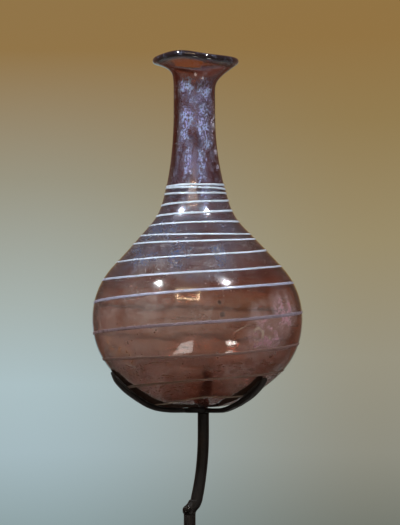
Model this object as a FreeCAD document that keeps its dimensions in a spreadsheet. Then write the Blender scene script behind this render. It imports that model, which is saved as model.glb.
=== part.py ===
import FreeCAD, Part
import Sketcher
import math
import os

from FreeCAD import Placement, Rotation, Vector

# Free-blown glass bottle with an applied spiral glass thread, standing in the
# three-arm metal cradle of its display stand.
#
# Row frame: +Z up, origin on the post's axis at the underside of the base felt.
# +X is to the right and -Y towards the viewer.  Millimetres.

doc = FreeCAD.newDocument("threaded_glass_bottle")
sheet = doc.addObject("Spreadsheet::Sheet", "dims")

# ---------------------------------------------------------------- dimensions
CELLS = [
    # where the bottle stands
    ("bottle_x", 3.3, "bottle axis, measured from the post axis"),
    ("bottle_z", 88.6, "underside of the bottle above the table"),
    # bottle, outside
    ("base_flat_r", 10.0, "flattened underside"),
    ("body_c_r", 12.3, "centre of the body arc"),
    ("body_c_z", 38.0, "height of the widest point"),
    ("body_arc_r", 33.9, "body arc radius"),
    ("belly_deg", 38.3, "where the body arc hands over to the base arc"),
    ("shoulder_deg", 47.2, "slope of the shoulder"),
    ("throat_arc_r", 26.0, "hollow between shoulder and neck"),
    ("neck_arc_r", 138.5, "long hollow taper of the neck"),
    ("neck_r", 9.15, "neck, outside"),
    ("neck_low_z", 128.0, "start of the straight part of the neck"),
    ("neck_top_z", 141.3, "end of the straight part of the neck"),
    ("flare_arc_r", 9.3, "flare under the rim"),
    ("flare_deg", 72.0, "turn of the flare"),
    ("brim_run", 2.8, "straight brim outside the flare"),
    ("lip_r", 1.25, "rounded lip"),
    # bottle, inside
    ("wall", 1.9, "wall of the blown glass"),
    ("base_wall", 2.7, "glass under the inside"),
    # applied thread
    ("thread_width", 1.35, "width of the thread"),
    ("thread_proud", 0.35, "how far the thread stands out of the glass"),
    ("thread_sunk", 0.35, "how far the thread is melted into the glass"),
    # cradle
    ("gap_under", 0.9, "glass to the top of the hub, filled by the hub pad"),
    ("arm_thick", 2.0, "arm strap thickness"),
    ("arm_width", 4.0, "arm strap width"),
    ("arm_bend_thick", 2.0, "arm strap thickness after its bend"),
    ("arm_mid_thick", 2.0, "arm strap thickness where it meets the body arc"),
    ("arm_tip_thick", 1.0, "arm strap thickness at the tip"),
    ("arm_tip_round", 1.7, "rounding of the tip"),
    ("arm_root_r", 3.0, "inner end of an arm, in the hub's notch"),
    ("left_bend_r", 24.0, "inside bend radius of the left arm"),
    ("right_bend_r", 20.0, "inside bend radius of the right arm"),
    ("back_bend_r", 22.0, "inside bend radius of the rear arm"),
    ("left_rise_deg", 35.5, "slope of the left arm after its bend"),
    ("right_rise_deg", 40.3, "slope of the right arm after its bend"),
    ("back_rise_deg", 38.0, "slope of the rear arm after its bend"),
    ("arm_clear", 1.3, "glass to the arm's inner face near the tip"),
    ("pad_thick", 0.8, "suede lining of an arm"),
    ("pad_width", 3.4, "width of the lining"),
    ("pad_run", 6.0, "lining on the straight part of an arm"),
    ("tip_left_deg", 48.0, "end of the left arm on the body arc"),
    ("tip_right_deg", 44.2, "end of the right arm on the body arc"),
    ("tip_back_deg", 50.0, "end of the rear arm on the body arc"),
    ("left_arm_deg", 192.0, "bearing of the left arm"),
    ("right_arm_deg", 324.0, "bearing of the right arm"),
    ("back_arm_deg", 82.0, "bearing of the rear arm"),
    ("hub_r", 6.0, "hub disc"),
    ("hub_pad_r", 4.2, "suede disc on the hub"),
    # stem
    ("stem_r", 2.5, "round bar of the stem"),
    ("stem_top_x", 6.0, "stem where it meets the hub"),
    ("stem_bow_z", 76.0, "height at which the stem starts to bow"),
    ("stem_end_x", 1.65, "lower end of the stem, beside the post axis"),
    ("stem_end_z", 41.75, "lower end of the stem"),
    ("stem_end_round", 1.7, "rounding of the stem's lower end"),
    # post, and the socket brazed to the stem that turns on its spigot
    ("post_r", 2.6, "post, outside"),
    ("post_top_z", 41.0, "shoulder of the post"),
    ("spigot_r", 1.55, "spigot on top of the post"),
    ("spigot_long", 4.0, "length of the spigot"),
    ("socket_r", 2.6, "socket, outside, and its domed top"),
    ("socket_wall_high", 3.5, "straight part of the socket"),
    ("bore_r", 1.6, "bore of the socket"),
    ("bore_deep", 4.2, "depth of the bore"),
    ("screw_r", 0.95, "clamp screw shank"),
    ("screw_hole_r", 1.0, "clamp screw hole"),
    ("screw_z", 43.2, "height of the clamp screw"),
    ("screw_deg", 252.0, "bearing of the clamp screw"),
    ("screw_head_r", 1.35, "clamp screw head"),
    ("screw_head_high", 1.1, "clamp screw head height"),
    ("screw_slot", 0.45, "clamp screw slot"),
    # base
    ("felt_thick", 1.0, "felt under the plate"),
    ("felt_side", 86.0, "felt, square"),
    ("plate_side", 90.0, "base plate, square"),
    ("plate_thick", 6.0, "base plate thickness"),
    ("plate_corner", 2.5, "base plate corner radius"),
    ("plate_chamfer", 0.8, "base plate top chamfer"),
    ("fix_r", 1.5, "fixing screw shank"),
    ("fix_hole_r", 1.6, "hole in the plate"),
    ("fix_head_r", 2.9, "countersunk head"),
    ("fix_head_high", 1.7, "countersunk head height"),
    ("fix_long", 13.0, "fixing screw length"),
    ("fix_socket_r", 1.0, "hexagon socket, across corners / 2"),
]

# Height of the thread above the underside of the bottle where it passes the
# left side, the front and the right side, from the bottom turn upwards.
TURNS = [
    (2.60, 4.40, 6.50),
    (9.20, 11.92, 15.80),
    (20.40, 22.40, 27.50),
    (31.80, 36.56, 41.40),
    (45.40, 50.60, 54.30),
    (55.30, 58.40, 61.60),
    (63.00, 65.80, 68.50),
    (71.00, 72.05, 73.50),
    (74.80, 75.05, 75.70),
    (78.90, 80.45, 81.10),
    (83.20, 84.60, 86.00),
    (88.00, 89.35, 90.40),
    (93.00, 93.30, 93.60),
    (94.95, 95.25, 95.25),
    (96.65, 96.95, 97.15),
]

NUM = {}
row = 0


def cell(alias, value, note):
    global row
    row += 1
    sheet.set("A%d" % row, alias)
    sheet.set("B%d" % row, repr(value))
    sheet.setAlias("B%d" % row, alias)
    sheet.set("C%d" % row, note)
    NUM[alias] = value


for alias, value, note in CELLS:
    cell(alias, value, note)
SIDES = ("left", "front", "right")
for n, turn in enumerate(TURNS):
    for side, value in zip(SIDES, turn):
        cell("turn%02d_%s" % (n + 1, side), value, "thread height, turn %d" % (n + 1))
doc.recompute()


class Q:
    """A size that carries its number and the cell expression it comes from."""

    def __init__(self, v, e=None):
        self.v = float(v)
        self.e = repr(float(v)) if e is None else e

    def __add__(self, o):
        o = q(o)
        return Q(self.v + o.v, "(%s + %s)" % (self.e, o.e))

    __radd__ = __add__

    def __sub__(self, o):
        o = q(o)
        return Q(self.v - o.v, "(%s - %s)" % (self.e, o.e))

    def __rsub__(self, o):
        return q(o) - self

    def __mul__(self, o):
        o = q(o)
        return Q(self.v * o.v, "(%s * %s)" % (self.e, o.e))

    __rmul__ = __mul__

    def __truediv__(self, o):
        o = q(o)
        return Q(self.v / o.v, "(%s / %s)" % (self.e, o.e))

    def __neg__(self):
        return Q(-self.v, "(0 - %s)" % self.e)


def q(x):
    return x if isinstance(x, Q) else Q(x)


def d(alias):
    return Q(NUM[alias], "dims." + alias)


def sin(a):
    a = q(a)
    return Q(math.sin(math.radians(a.v)), "sin(%s * 1 deg)" % a.e)


def cos(a):
    a = q(a)
    return Q(math.cos(math.radians(a.v)), "cos(%s * 1 deg)" % a.e)


def tan(a):
    return sin(a) / cos(a)


def root(a):
    a = q(a)
    return Q(math.sqrt(a.v), "sqrt(%s)" % a.e)


# ------------------------------------------------------------------- helpers
def new_body(label):
    body = doc.addObject("PartDesign::Body", label)
    body.Label = label
    return body


def plane_of(body, role):
    return [f for f in body.Origin.OriginFeatures if f.Role == role][0]


def new_sketch(body, name, role, offset=None):
    sk = body.newObject("Sketcher::SketchObject", name)
    sk.AttachmentSupport = [(plane_of(body, role), "")]
    sk.MapMode = "FlatFace"
    if offset is not None:
        sk.AttachmentOffset = Placement(Vector(0, 0, q(offset).v), Rotation())
        sk.setExpression("AttachmentOffset.Base.z", q(offset).e)
    return sk


def bind(sk, index, size):
    sk.setExpression("Constraints[%d]" % index, size.e)


def pin(sk, geo, pos, x, y):
    """Ties one sketch point to its two coordinates."""
    for kind, size, axis in (("DistanceX", x, -2), ("DistanceY", y, -1)):
        if abs(size.v) < 1e-9:
            sk.addConstraint(Sketcher.Constraint("PointOnObject", geo, pos, axis))
        elif size.v > 0:
            i = sk.addConstraint(Sketcher.Constraint(kind, -1, 1, geo, pos, size.v))
            bind(sk, i, size)
        else:
            i = sk.addConstraint(Sketcher.Constraint(kind, geo, pos, -1, 1, -size.v))
            bind(sk, i, -size)


def outline(sk, corners, arcs, closed=True):
    """A chain of lines and arcs.  corners are (x, y) sizes; arcs maps a segment's
    number to (radius, point near the middle of that arc)."""
    pts = [Vector(c[0].v, c[1].v, 0) for c in corners]
    count = len(pts) if closed else len(pts) - 1
    ends = []
    for i in range(count):
        a, b = pts[i], pts[(i + 1) % len(pts)]
        if i in arcs:
            radius, near = arcs[i][:2]
            mid = (a + b) * 0.5
            chord = b - a
            half = chord.Length / 2
            side = Vector(-chord.y, chord.x, 0).normalize()
            if side.dot(Vector(near[0], near[1], 0) - mid) < 0:
                side = side * -1
            r = radius.v
            rise = r - math.sqrt(max(r * r - half * half, 0))
            if len(arcs[i]) > 2:  # the longer way round
                rise = 2 * r - rise
            g = sk.addGeometry(Part.Arc(a, mid + side * rise, b), False)
        else:
            g = sk.addGeometry(Part.LineSegment(a, b), False)
        p1, p2 = sk.getPoint(g, 1), sk.getPoint(g, 2)
        start, end = (1, 2) if (p1 - a).Length < (p2 - a).Length else (2, 1)
        ends.append((g, start, end))
    for i in range(count):
        g, start, end = ends[i]
        pin(sk, g, start, *corners[i])
        if i + 1 < count or closed:
            h, hs, _ = ends[(i + 1) % count]
            sk.addConstraint(Sketcher.Constraint("Coincident", g, end, h, hs))
        else:
            pin(sk, g, end, *corners[i + 1])
        if i in arcs:
            k = sk.addConstraint(Sketcher.Constraint("Radius", g, arcs[i][0].v))
            bind(sk, k, arcs[i][0])
    return sk


def circle(sk, x, y, radius):
    g = sk.addGeometry(Part.Circle(Vector(x.v, y.v, 0), Vector(0, 0, 1), radius.v), False)
    pin(sk, g, 3, x, y)
    k = sk.addConstraint(Sketcher.Constraint("Radius", g, radius.v))
    bind(sk, k, radius)
    return g


def rectangle(sk, x0, y0, x1, y1):
    return outline(sk, [(x0, y0), (x1, y0), (x1, y1), (x0, y1)], {})


def revolve(body, sk, name):
    f = body.newObject("PartDesign::Revolution", name)
    f.Profile = sk
    f.ReferenceAxis = (sk, ["V_Axis"])
    f.Angle = 360.0
    return f


def pad(body, sk, name, length, middle=False, back=False):
    f = body.newObject("PartDesign::Pad", name)
    f.Profile = sk
    f.Length = length.v
    f.setExpression("Length", length.e)
    f.Midplane = middle
    f.Reversed = back
    return f


def pocket(body, sk, name, length=None, back=False, middle=False):
    before = body.Tip.Shape.Volume
    f = body.newObject("PartDesign::Pocket", name)
    f.Profile = sk
    if length is None:
        f.Type = 1
    else:
        f.Length = length.v
        f.setExpression("Length", length.e)
    f.Midplane = middle
    f.Reversed = back
    doc.recompute()
    if f.Shape.isNull() or not f.Shape.Volume < before - 1e-6:
        raise RuntimeError("%s cuts nothing" % name)
    return f


def soften(body, name, size, wanted, kind="PartDesign::Fillet", key="Radius"):
    """Rounds or bevels the tip feature's edges that wanted() picks."""
    base = body.Tip
    names = ["Edge%d" % (i + 1) for i, e in enumerate(base.Shape.Edges) if wanted(e)]
    if not names:
        raise RuntimeError("%s finds no edge" % name)
    f = body.newObject(kind, name)
    f.Base = (base, names)
    setattr(f, key, size.v)
    f.setExpression(key, size.e)
    doc.recompute()
    return f


def place(obj, x, y, z, turn=None):
    obj.Placement = Placement(Vector(0, 0, 0), Rotation(Vector(0, 0, 1), 0 if turn is None else turn.v))
    for axis, size in (("x", x), ("y", y), ("z", z)):
        size = q(size)
        setattr(obj.Placement.Base, axis, size.v)
        obj.setExpression("Placement.Base." + axis, size.e)
    if turn is not None:
        obj.setExpression("Placement.Rotation.Angle", turn.e)


ZERO = Q(0.0, "0")
PIECES = []


# ------------------------------------------------------------- glass vessel
wall = d("wall")
c1r, c1z, r1 = d("body_c_r"), d("body_c_z"), d("body_arc_r")
belly, slope = d("belly_deg"), d("shoulder_deg")
r3, r4, neck = d("throat_arc_r"), d("neck_arc_r"), d("neck_r")
n1z, n2z = d("neck_low_z"), d("neck_top_z")
r5, turn5, run5, lip = d("flare_arc_r"), d("flare_deg"), d("brim_run"), d("lip_r")

J = (c1r + r1 * sin(belly), c1z - r1 * cos(belly))
K = (c1r + r1 * sin(slope), c1z + r1 * cos(slope))
# base arc: tangent to the body arc at J, through the rim of the flat underside
bx, bz = J[0] - d("base_flat_r"), J[1]
r2 = (bx * bx + bz * bz) / (2 * (bx * sin(belly) - bz * cos(belly)))
c2 = (J[0] - r2 * sin(belly), J[1] + r2 * cos(belly))
# throat arc: tangent to the shoulder line and to the long neck arc
along = (-cos(slope), sin(slope))
out = (sin(slope), cos(slope))
c4 = (neck + r4, n1z)
w = (K[0] + r3 * out[0] - c4[0], K[1] + r3 * out[1] - c4[1])
wd = w[0] * along[0] + w[1] * along[1]
ww = w[0] * w[0] + w[1] * w[1]
gap = r4 - r3
s_line = root(wd * wd - ww + gap * gap) - wd
P1 = (K[0] + s_line * along[0], K[1] + s_line * along[1])
c3 = (P1[0] + r3 * out[0], P1[1] + r3 * out[1])
u4 = ((c3[0] - c4[0]) / gap, (c3[1] - c4[1]) / gap)
P2 = (c4[0] + r4 * u4[0], c4[1] + r4 * u4[1])
# flare, brim and lip
c5 = (neck + r5, n2z)
F = (c5[0] - r5 * cos(turn5), c5[1] + r5 * sin(turn5))
brim = (sin(turn5), cos(turn5))
L1 = (F[0] + run5 * brim[0], F[1] + run5 * brim[1])
cl = (L1[0] - lip * brim[1], L1[1] + lip * brim[0])
rise = wall - lip
back = root(lip * lip - rise * rise)
L2 = (cl[0] - rise * brim[1] - back * brim[0], cl[1] + rise * brim[0] - back * brim[1])
# inside
Fi = (c5[0] - (r5 + wall) * cos(turn5), c5[1] + (r5 + wall) * sin(turn5))
P2i = (c4[0] + (r4 + wall) * u4[0], c4[1] + (r4 + wall) * u4[1])
P1i = (P1[0] - wall * out[0], P1[1] - wall * out[1])
Ki = (K[0] - wall * out[0], K[1] - wall * out[1])
Ji = (J[0] - wall * sin(belly), J[1] + wall * cos(belly))
floor_z = d("base_wall")
drop = c2[1] - floor_z
fi_r = c2[0] + root((r2 - wall) * (r2 - wall) - drop * drop)

body = new_body("glass_vessel")
sk = new_sketch(body, "vessel_section", "XZ_Plane")
corners = [
    (ZERO, ZERO),
    (d("base_flat_r"), ZERO),
    J,
    K,
    P1,
    P2,
    (neck, n1z),
    (neck, n2z),
    F,
    L1,
    L2,
    Fi,
    (neck - wall, n2z),
    (neck - wall, n1z),
    P2i,
    P1i,
    Ki,
    Ji,
    (fi_r, floor_z),
    (ZERO, floor_z),
]
arcs = {
    1: (r2, (30.0, 0.0)),
    2: (r1, (60.0, 38.0)),
    4: (r3, (0.0, 70.0)),
    5: (r4, (0.0, 100.0)),
    7: (r5, (0.0, 152.0)),
    9: (lip, (25.0, 152.0), True),
    11: (r5 + wall, (0.0, 152.0)),
    13: (r4 + wall, (0.0, 100.0)),
    14: (r3 + wall, (0.0, 70.0)),
    16: (r1 - wall, (60.0, 38.0)),
    17: (r2 - wall, (30.0, 0.0)),
}
outline(sk, corners, arcs)
revolve(body, sk, "vessel_turned")
place(body, d("bottle_x"), 0, d("bottle_z"))
PIECES.append(body)
doc.recompute()


# ------------------------------------------------------------- applied thread
def outside(z):
    """Outer radius of the glass and the outward normal (radial, vertical) at z."""
    if z <= J[1].v:
        rho = r2.v
        dz = z - c2[1].v
        r = c2[0].v + math.sqrt(rho * rho - dz * dz)
        return r, ((r - c2[0].v) / rho, dz / rho)
    if z <= K[1].v:
        dz = z - c1z.v
        r = c1r.v + math.sqrt(r1.v**2 - dz * dz)
        return r, ((r - c1r.v) / r1.v, dz / r1.v)
    if z <= P1[1].v:
        f = (z - K[1].v) / along[1].v
        return K[0].v + f * along[0].v, (out[0].v, out[1].v)
    if z <= P2[1].v:
        dz = z - c3[1].v
        r = c3[0].v - math.sqrt(r3.v**2 - dz * dz)
        return r, ((c3[0].v - r) / r3.v, -dz / r3.v)
    dz = z - c4[1].v
    if dz >= 0:
        return neck.v, (1.0, 0.0)
    r = c4[0].v - math.sqrt(r4.v**2 - dz * dz)
    return r, ((c4[0].v - r) / r4.v, -dz / r4.v)


def size_of(alias):
    return float(sheet.get(alias))


def thread_heights():
    """(bearing in degrees, height) of the thread from its lower to its upper end."""
    rows = [[size_of("turn%02d_%s" % (n + 1, s)) for s in SIDES] for n in range(len(TURNS))]
    knots = [(140.0, rows[0][0] - 0.7)]
    for n, (left, front, right) in enumerate(rows):
        t = 360.0 * n
        knots += [(t + 180, left), (t + 270, front), (t + 360, right)]
        if n + 1 < len(rows):
            knots.append((t + 450, (right + rows[n + 1][0]) / 2))
    knots.append((360.0 * len(rows) + 25, rows[-1][2] + 0.02))
    return knots


def smooth(knots, t):
    """Monotone cubic through the knots."""
    for i in range(len(knots) - 1):
        if t <= knots[i + 1][0] or i == len(knots) - 2:
            break

    def tangent(k):
        if k <= 0 or k >= len(knots) - 1:
            a, b = (0, 1) if k <= 0 else (len(knots) - 2, len(knots) - 1)
            return (knots[b][1] - knots[a][1]) / (knots[b][0] - knots[a][0])
        s0 = (knots[k][1] - knots[k - 1][1]) / (knots[k][0] - knots[k - 1][0])
        s1 = (knots[k + 1][1] - knots[k][1]) / (knots[k + 1][0] - knots[k][0])
        return 0.0 if s0 * s1 <= 0 else 2 * s0 * s1 / (s0 + s1)

    (t0, z0), (t1, z1) = knots[i], knots[i + 1]
    span = t1 - t0
    f = (t - t0) / span
    m0, m1 = tangent(i) * span, tangent(i + 1) * span
    return (
        (2 * f**3 - 3 * f**2 + 1) * z0
        + (f**3 - 2 * f**2 + f) * m0
        + (-2 * f**3 + 3 * f**2) * z1
        + (f**3 - f**2) * m1
    )


def thread_solid():
    """One long solid with an eight-sided oval section, laid along the winding."""
    knots = thread_heights()
    first, last = knots[0][0], knots[-1][0]
    step = 12.0
    count = int(round((last - first) / step))
    step = (last - first) / count
    around = 8
    widen = 1.0 / math.cos(math.radians(180.0 / around))
    swell = 3.0 / (2.0 + math.cos(math.radians(step)))
    width, proud, sunk = (size_of(k) for k in ("thread_width", "thread_proud", "thread_sunk"))
    high = proud + sunk
    lines = [[] for j in range(around)]
    for i in range(count + 1):
        t = first + step * i
        z = smooth(knots, t)
        r, (nr, nz) = outside(z)
        ends = min((t - first) / 30.0, (last - t) / 30.0, 1.0)
        share = 0.45 + 0.55 * math.sin(ends * math.pi / 2)
        a = math.radians(t)
        for j in range(around):
            v = math.radians(360.0 * (j + 0.5) / around)
            across = 0.5 * width * share * widen * math.cos(v)
            up = (proud - sunk) / 2 + 0.5 * high * share * widen * math.sin(v)
            rr = (r + up * nr - across * nz) * (swell if 0 < i < count else 1.0)
            lines[j].append(Vector(rr * math.cos(a), rr * math.sin(a), z + up * nz + across * nr))
    spans = count + 1 - 3
    u_knots = [float(k) for k in range(spans + 1)]
    u_mults = [4] + [1] * (spans - 1) + [4]
    faces = []
    for j in range(around):
        poles = [[p, q_] for p, q_ in zip(lines[j], lines[(j + 1) % around])]
        for start in range(0, spans, 30):  # one face for each turn
            strip = Part.BSplineSurface()
            strip.buildFromPolesMultsKnots(
                poles, u_mults, [2, 2], u_knots, [0.0, 1.0], False, False, 3, 1
            )
            strip.segment(float(start), float(min(start + 30, spans)), 0.0, 1.0)
            faces.append(strip.toShape())
    for i in (0, count):
        ring = [lines[j][i] for j in range(around)]
        faces.append(Part.Face(Part.makePolygon(ring + ring[:1])))
    shell = Part.makeShell(faces)
    shell.sewShape()
    solid = Part.Solid(shell)
    if solid.Volume < 0:
        solid.reverse()
    if not solid.isValid():
        fixed = solid.copy()
        fixed.fix(1e-4, 1e-5, 1e-3)
        solid = fixed
    return solid


thread = doc.addObject("Part::Feature", "glass_thread")
thread.Label = "glass_thread"
thread.Shape = thread_solid()
place(thread, d("bottle_x"), 0, d("bottle_z"))
PIECES.append(thread)

# -------------------------------------------------------------------- cradle
# The hub and arms are drawn with z = 0 at their common underside.
thick, under = d("arm_thick"), d("gap_under")
cradle_z = d("bottle_z") - under - thick
lift = under + thick  # cradle frame to bottle frame
face_r = r1 + d("arm_clear")
arc_c = (c1r, c1z + lift)
ARMS = (
    ("left", "left_arm_deg", "tip_left_deg"),
    ("right", "right_arm_deg", "tip_right_deg"),
    ("back", "back_arm_deg", "tip_back_deg"),
)
half = d("arm_width") / 2

body = new_body("hub")
sk = new_sketch(body, "hub_disc", "XY_Plane")
circle(sk, ZERO, ZERO, d("hub_r"))
pad(body, sk, "hub_blank", thick)
doc.recompute()
for side, bearing, _ in ARMS:
    sk = new_sketch(body, "notch_" + side, "XY_Plane")
    b = d(bearing)
    ends = []
    for r, y in (
        (d("arm_root_r"), -half),
        (d("hub_r") + 2, -half),
        (d("hub_r") + 2, half),
        (d("arm_root_r"), half),
    ):
        ends.append((r * cos(b) - y * sin(b), r * sin(b) + y * cos(b)))
    outline(sk, ends, {})
    pocket(body, sk, "notch_cut_" + side, back=True)
place(body, d("bottle_x"), 0, cradle_z)
PIECES.append(body)

body = new_body("hub_pad")
sk = new_sketch(body, "hub_pad_disc", "XY_Plane")
circle(sk, ZERO, ZERO, d("hub_pad_r"))
pad(body, sk, "hub_pad_cut", under)
place(body, d("bottle_x"), 0, cradle_z + thick)
PIECES.append(body)

for side, bearing, tip in ARMS:
    # the strap lies flat under the bottle, bends up, runs straight until it meets
    # the body arc and follows that to its tip, getting thinner on the way
    bend, incline = d(side + "_bend_r"), d(side + "_rise_deg")
    T_in = (arc_c[0] + face_r * sin(incline), arc_c[1] - face_r * cos(incline))
    corner = T_in[0] - (T_in[1] - thick) / tan(incline)
    setback = bend * tan(incline / 2)
    B1 = (corner - setback, thick)
    B2 = (corner + setback * cos(incline), thick + setback * sin(incline))
    normal = (sin(incline), -cos(incline))
    T_out = (
        T_in[0] + d("arm_mid_thick") * normal[0],
        T_in[1] + d("arm_mid_thick") * normal[1],
    )
    B2o = (
        B2[0] + d("arm_bend_thick") * normal[0],
        B2[1] + d("arm_bend_thick") * normal[1],
    )
    B1o = (B1[0], ZERO)
    run = B2o[0] - B1o[0]
    bend_out = (run * run + B2o[1] * B2o[1]) / (2 * B2o[1])
    end = d(tip)
    tip_in = (arc_c[0] + face_r * sin(end), arc_c[1] - face_r * cos(end))
    tip_out = (
        tip_in[0] + d("arm_tip_thick") * sin(end),
        tip_in[1] - d("arm_tip_thick") * cos(end),
    )
    body = new_body("arm_" + side)
    sk = new_sketch(body, "arm_%s_side" % side, "XZ_Plane")
    outline(
        sk,
        [
            (d("arm_root_r"), ZERO),
            B1o,
            B2o,
            T_out,
            tip_out,
            tip_in,
            T_in,
            B2,
            B1,
            (d("arm_root_r"), thick),
        ],
        {
            1: (bend_out, (30.0, -20.0)),
            3: (face_r + d("arm_mid_thick"), (60.0, -20.0)),
            5: (face_r, (60.0, -20.0)),
            7: (bend, (30.0, -20.0)),
        },
    )
    pad(body, sk, "arm_%s_strap" % side, d("arm_width"), middle=True)
    doc.recompute()
    tip_mid = Vector((tip_in[0].v + tip_out[0].v) / 2, 0, (tip_in[1].v + tip_out[1].v) / 2)

    def at_tip(e, m=tip_mid):
        c = e.CenterOfMass
        return abs(abs(c.y) - half.v) < 1e-3 and (Vector(c.x, 0, c.z) - m).Length < 0.05

    soften(body, "arm_%s_round" % side, d("arm_tip_round"), at_tip)

    place(body, d("bottle_x"), 0, cradle_z, d(bearing))
    PIECES.append(body)

    # suede lining glued to the arm's inner face
    lining = d("pad_thick")
    up_to = end - 2.6
    inner_r = face_r - lining
    s_in = (T_in[0] - d("pad_run") * cos(incline), T_in[1] - d("pad_run") * sin(incline))
    corners = [
        s_in,
        T_in,
        (arc_c[0] + face_r * sin(up_to), arc_c[1] - face_r * cos(up_to)),
        (arc_c[0] + inner_r * sin(up_to), arc_c[1] - inner_r * cos(up_to)),
        (T_in[0] - lining * normal[0], T_in[1] - lining * normal[1]),
        (s_in[0] - lining * normal[0], s_in[1] - lining * normal[1]),
    ]
    body = new_body("pad_" + side)
    sk = new_sketch(body, "pad_%s_side" % side, "XZ_Plane")
    outline(sk, corners, {1: (face_r, (60.0, -20.0)), 3: (inner_r, (60.0, -20.0))})
    pad(body, sk, "pad_%s_strip" % side, d("pad_width"), middle=True)
    place(body, d("bottle_x"), 0, cradle_z, d(bearing))
    PIECES.append(body)

# ---------------------------------------------------------------------- stem
# The socket's outside, drawn once and used for the socket and for the mouth
# that is cut into the stem's lower end where the two are brazed together.
post_top = d("post_top_z")
sock_r, sock_wall = d("socket_r"), d("socket_wall_high")

body = new_body("stem")
reach = d("stem_top_x") - d("stem_end_x")
fall = d("stem_bow_z") - d("stem_end_z")
bow = (reach * reach + fall * fall) / (2 * reach)
path = new_sketch(body, "stem_line", "XZ_Plane")
outline(
    path,
    [
        (d("stem_top_x"), cradle_z),
        (d("stem_top_x"), d("stem_bow_z")),
        (d("stem_end_x"), d("stem_end_z")),
    ],
    {1: (bow, (40.0, 60.0))},
    closed=False,
)
ring = new_sketch(body, "stem_section", "XY_Plane", cradle_z)
circle(ring, d("stem_top_x"), ZERO, d("stem_r"))
sweep = body.newObject("PartDesign::AdditivePipe", "stem_bar")
sweep.Profile = ring
sweep.Spine = path
doc.recompute()


def stem_end(e):
    return e.isClosed() and e.BoundBox.ZMax < d("stem_end_z").v + 2


soften(body, "stem_end_rounding", d("stem_end_round"), stem_end)
before = body.Tip.Shape.Volume
sk = new_sketch(body, "stem_mouth_section", "XZ_Plane")
outline(
    sk,
    [
        (ZERO, post_top - 2.0),
        (sock_r, post_top - 2.0),
        (sock_r, post_top + sock_wall),
        (ZERO, post_top + sock_wall + sock_r),
    ],
    {2: (sock_r, (30.0, 80.0))},
)
mouth = body.newObject("PartDesign::Groove", "stem_mouth")
mouth.Profile = sk
mouth.ReferenceAxis = (sk, ["V_Axis"])
mouth.Angle = 360.0
doc.recompute()
if not body.Tip.Shape.Volume < before - 1.0:
    raise RuntimeError("the stem's mouth cuts nothing")
place(body, 0, 0, 0)
PIECES.append(body)

# ------------------------------------------------------ socket, post and screw
body = new_body("socket")
sk = new_sketch(body, "socket_section", "XZ_Plane")
outline(
    sk,
    [
        (d("bore_r"), ZERO),
        (sock_r, ZERO),
        (sock_r, sock_wall),
        (ZERO, sock_wall + sock_r),
        (ZERO, d("bore_deep")),
        (d("bore_r"), d("bore_deep")),
    ],
    {2: (sock_r, (30.0, 40.0))},
)
revolve(body, sk, "socket_turned")
doc.recompute()
sk = new_sketch(body, "socket_cross_hole", "YZ_Plane")
circle(sk, ZERO, d("screw_z") - post_top, d("screw_hole_r"))
pocket(body, sk, "socket_cross_drill", sock_r + 1.0)
place(body, 0, 0, post_top, d("screw_deg") + 180.0)
PIECES.append(body)

post_foot = d("felt_thick") + d("plate_thick")
height = post_top - post_foot
body = new_body("post")
sk = new_sketch(body, "post_section", "XZ_Plane")
tap_r = d("fix_r")
tap_deep = d("fix_long") - d("plate_thick") + 1.0
nose = Q(0.3)
outline(
    sk,
    [
        (tap_r, ZERO),
        (d("post_r"), ZERO),
        (d("post_r"), height),
        (d("spigot_r"), height),
        (d("spigot_r"), height + d("spigot_long") - nose),
        (d("spigot_r") - nose, height + d("spigot_long")),
        (ZERO, height + d("spigot_long")),
        (ZERO, tap_deep),
        (tap_r, tap_deep),
    ],
    {},
)
revolve(body, sk, "post_turned")
place(body, 0, 0, post_foot)
PIECES.append(body)

# the screw is turned about its own Z and then laid along its bearing
body = new_body("clamp_screw")
sk = new_sketch(body, "clamp_screw_section", "XZ_Plane")
tip0 = d("spigot_r") + 0.05
seat = sock_r + 0.05
outline(
    sk,
    [
        (ZERO, tip0),
        (d("screw_r") - 0.25, tip0),
        (d("screw_r"), tip0 + 0.25),
        (d("screw_r"), seat),
        (d("screw_head_r"), seat),
        (d("screw_head_r"), seat + d("screw_head_high") - 0.25),
        (d("screw_head_r") - 0.25, seat + d("screw_head_high")),
        (ZERO, seat + d("screw_head_high")),
    ],
    {},
)
revolve(body, sk, "clamp_screw_turned")
doc.recompute()
sk = new_sketch(body, "clamp_screw_slot_line", "XY_Plane", seat + d("screw_head_high"))
slot = d("screw_slot") / 2
rectangle(sk, -slot, -2 * d("screw_head_r"), slot, 2 * d("screw_head_r"))
pocket(body, sk, "clamp_screw_slot", Q(0.5))
aim = Rotation(Vector(0, 0, 1), NUM["screw_deg"]).multiply(Rotation(Vector(0, 1, 0), 90))
body.Placement = Placement(Vector(0, 0, NUM["screw_z"]), aim)
body.setExpression("Placement.Base.z", "dims.screw_z")
PIECES.append(body)

# ---------------------------------------------------------------------- base
body = new_body("base_plate")
side_h = d("plate_side") / 2
sk = new_sketch(body, "plate_outline", "XY_Plane")
rectangle(sk, -side_h, -side_h, side_h, side_h)
pad(body, sk, "plate_blank", d("plate_thick"))
doc.recompute()


def upright(e):
    return e.BoundBox.ZLength > 0.5 and e.BoundBox.XLength < 0.01 and e.BoundBox.YLength < 0.01


soften(body, "plate_corners", d("plate_corner"), upright)


def top_edge(e):
    return e.BoundBox.ZMin > d("plate_thick").v - 0.01


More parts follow.
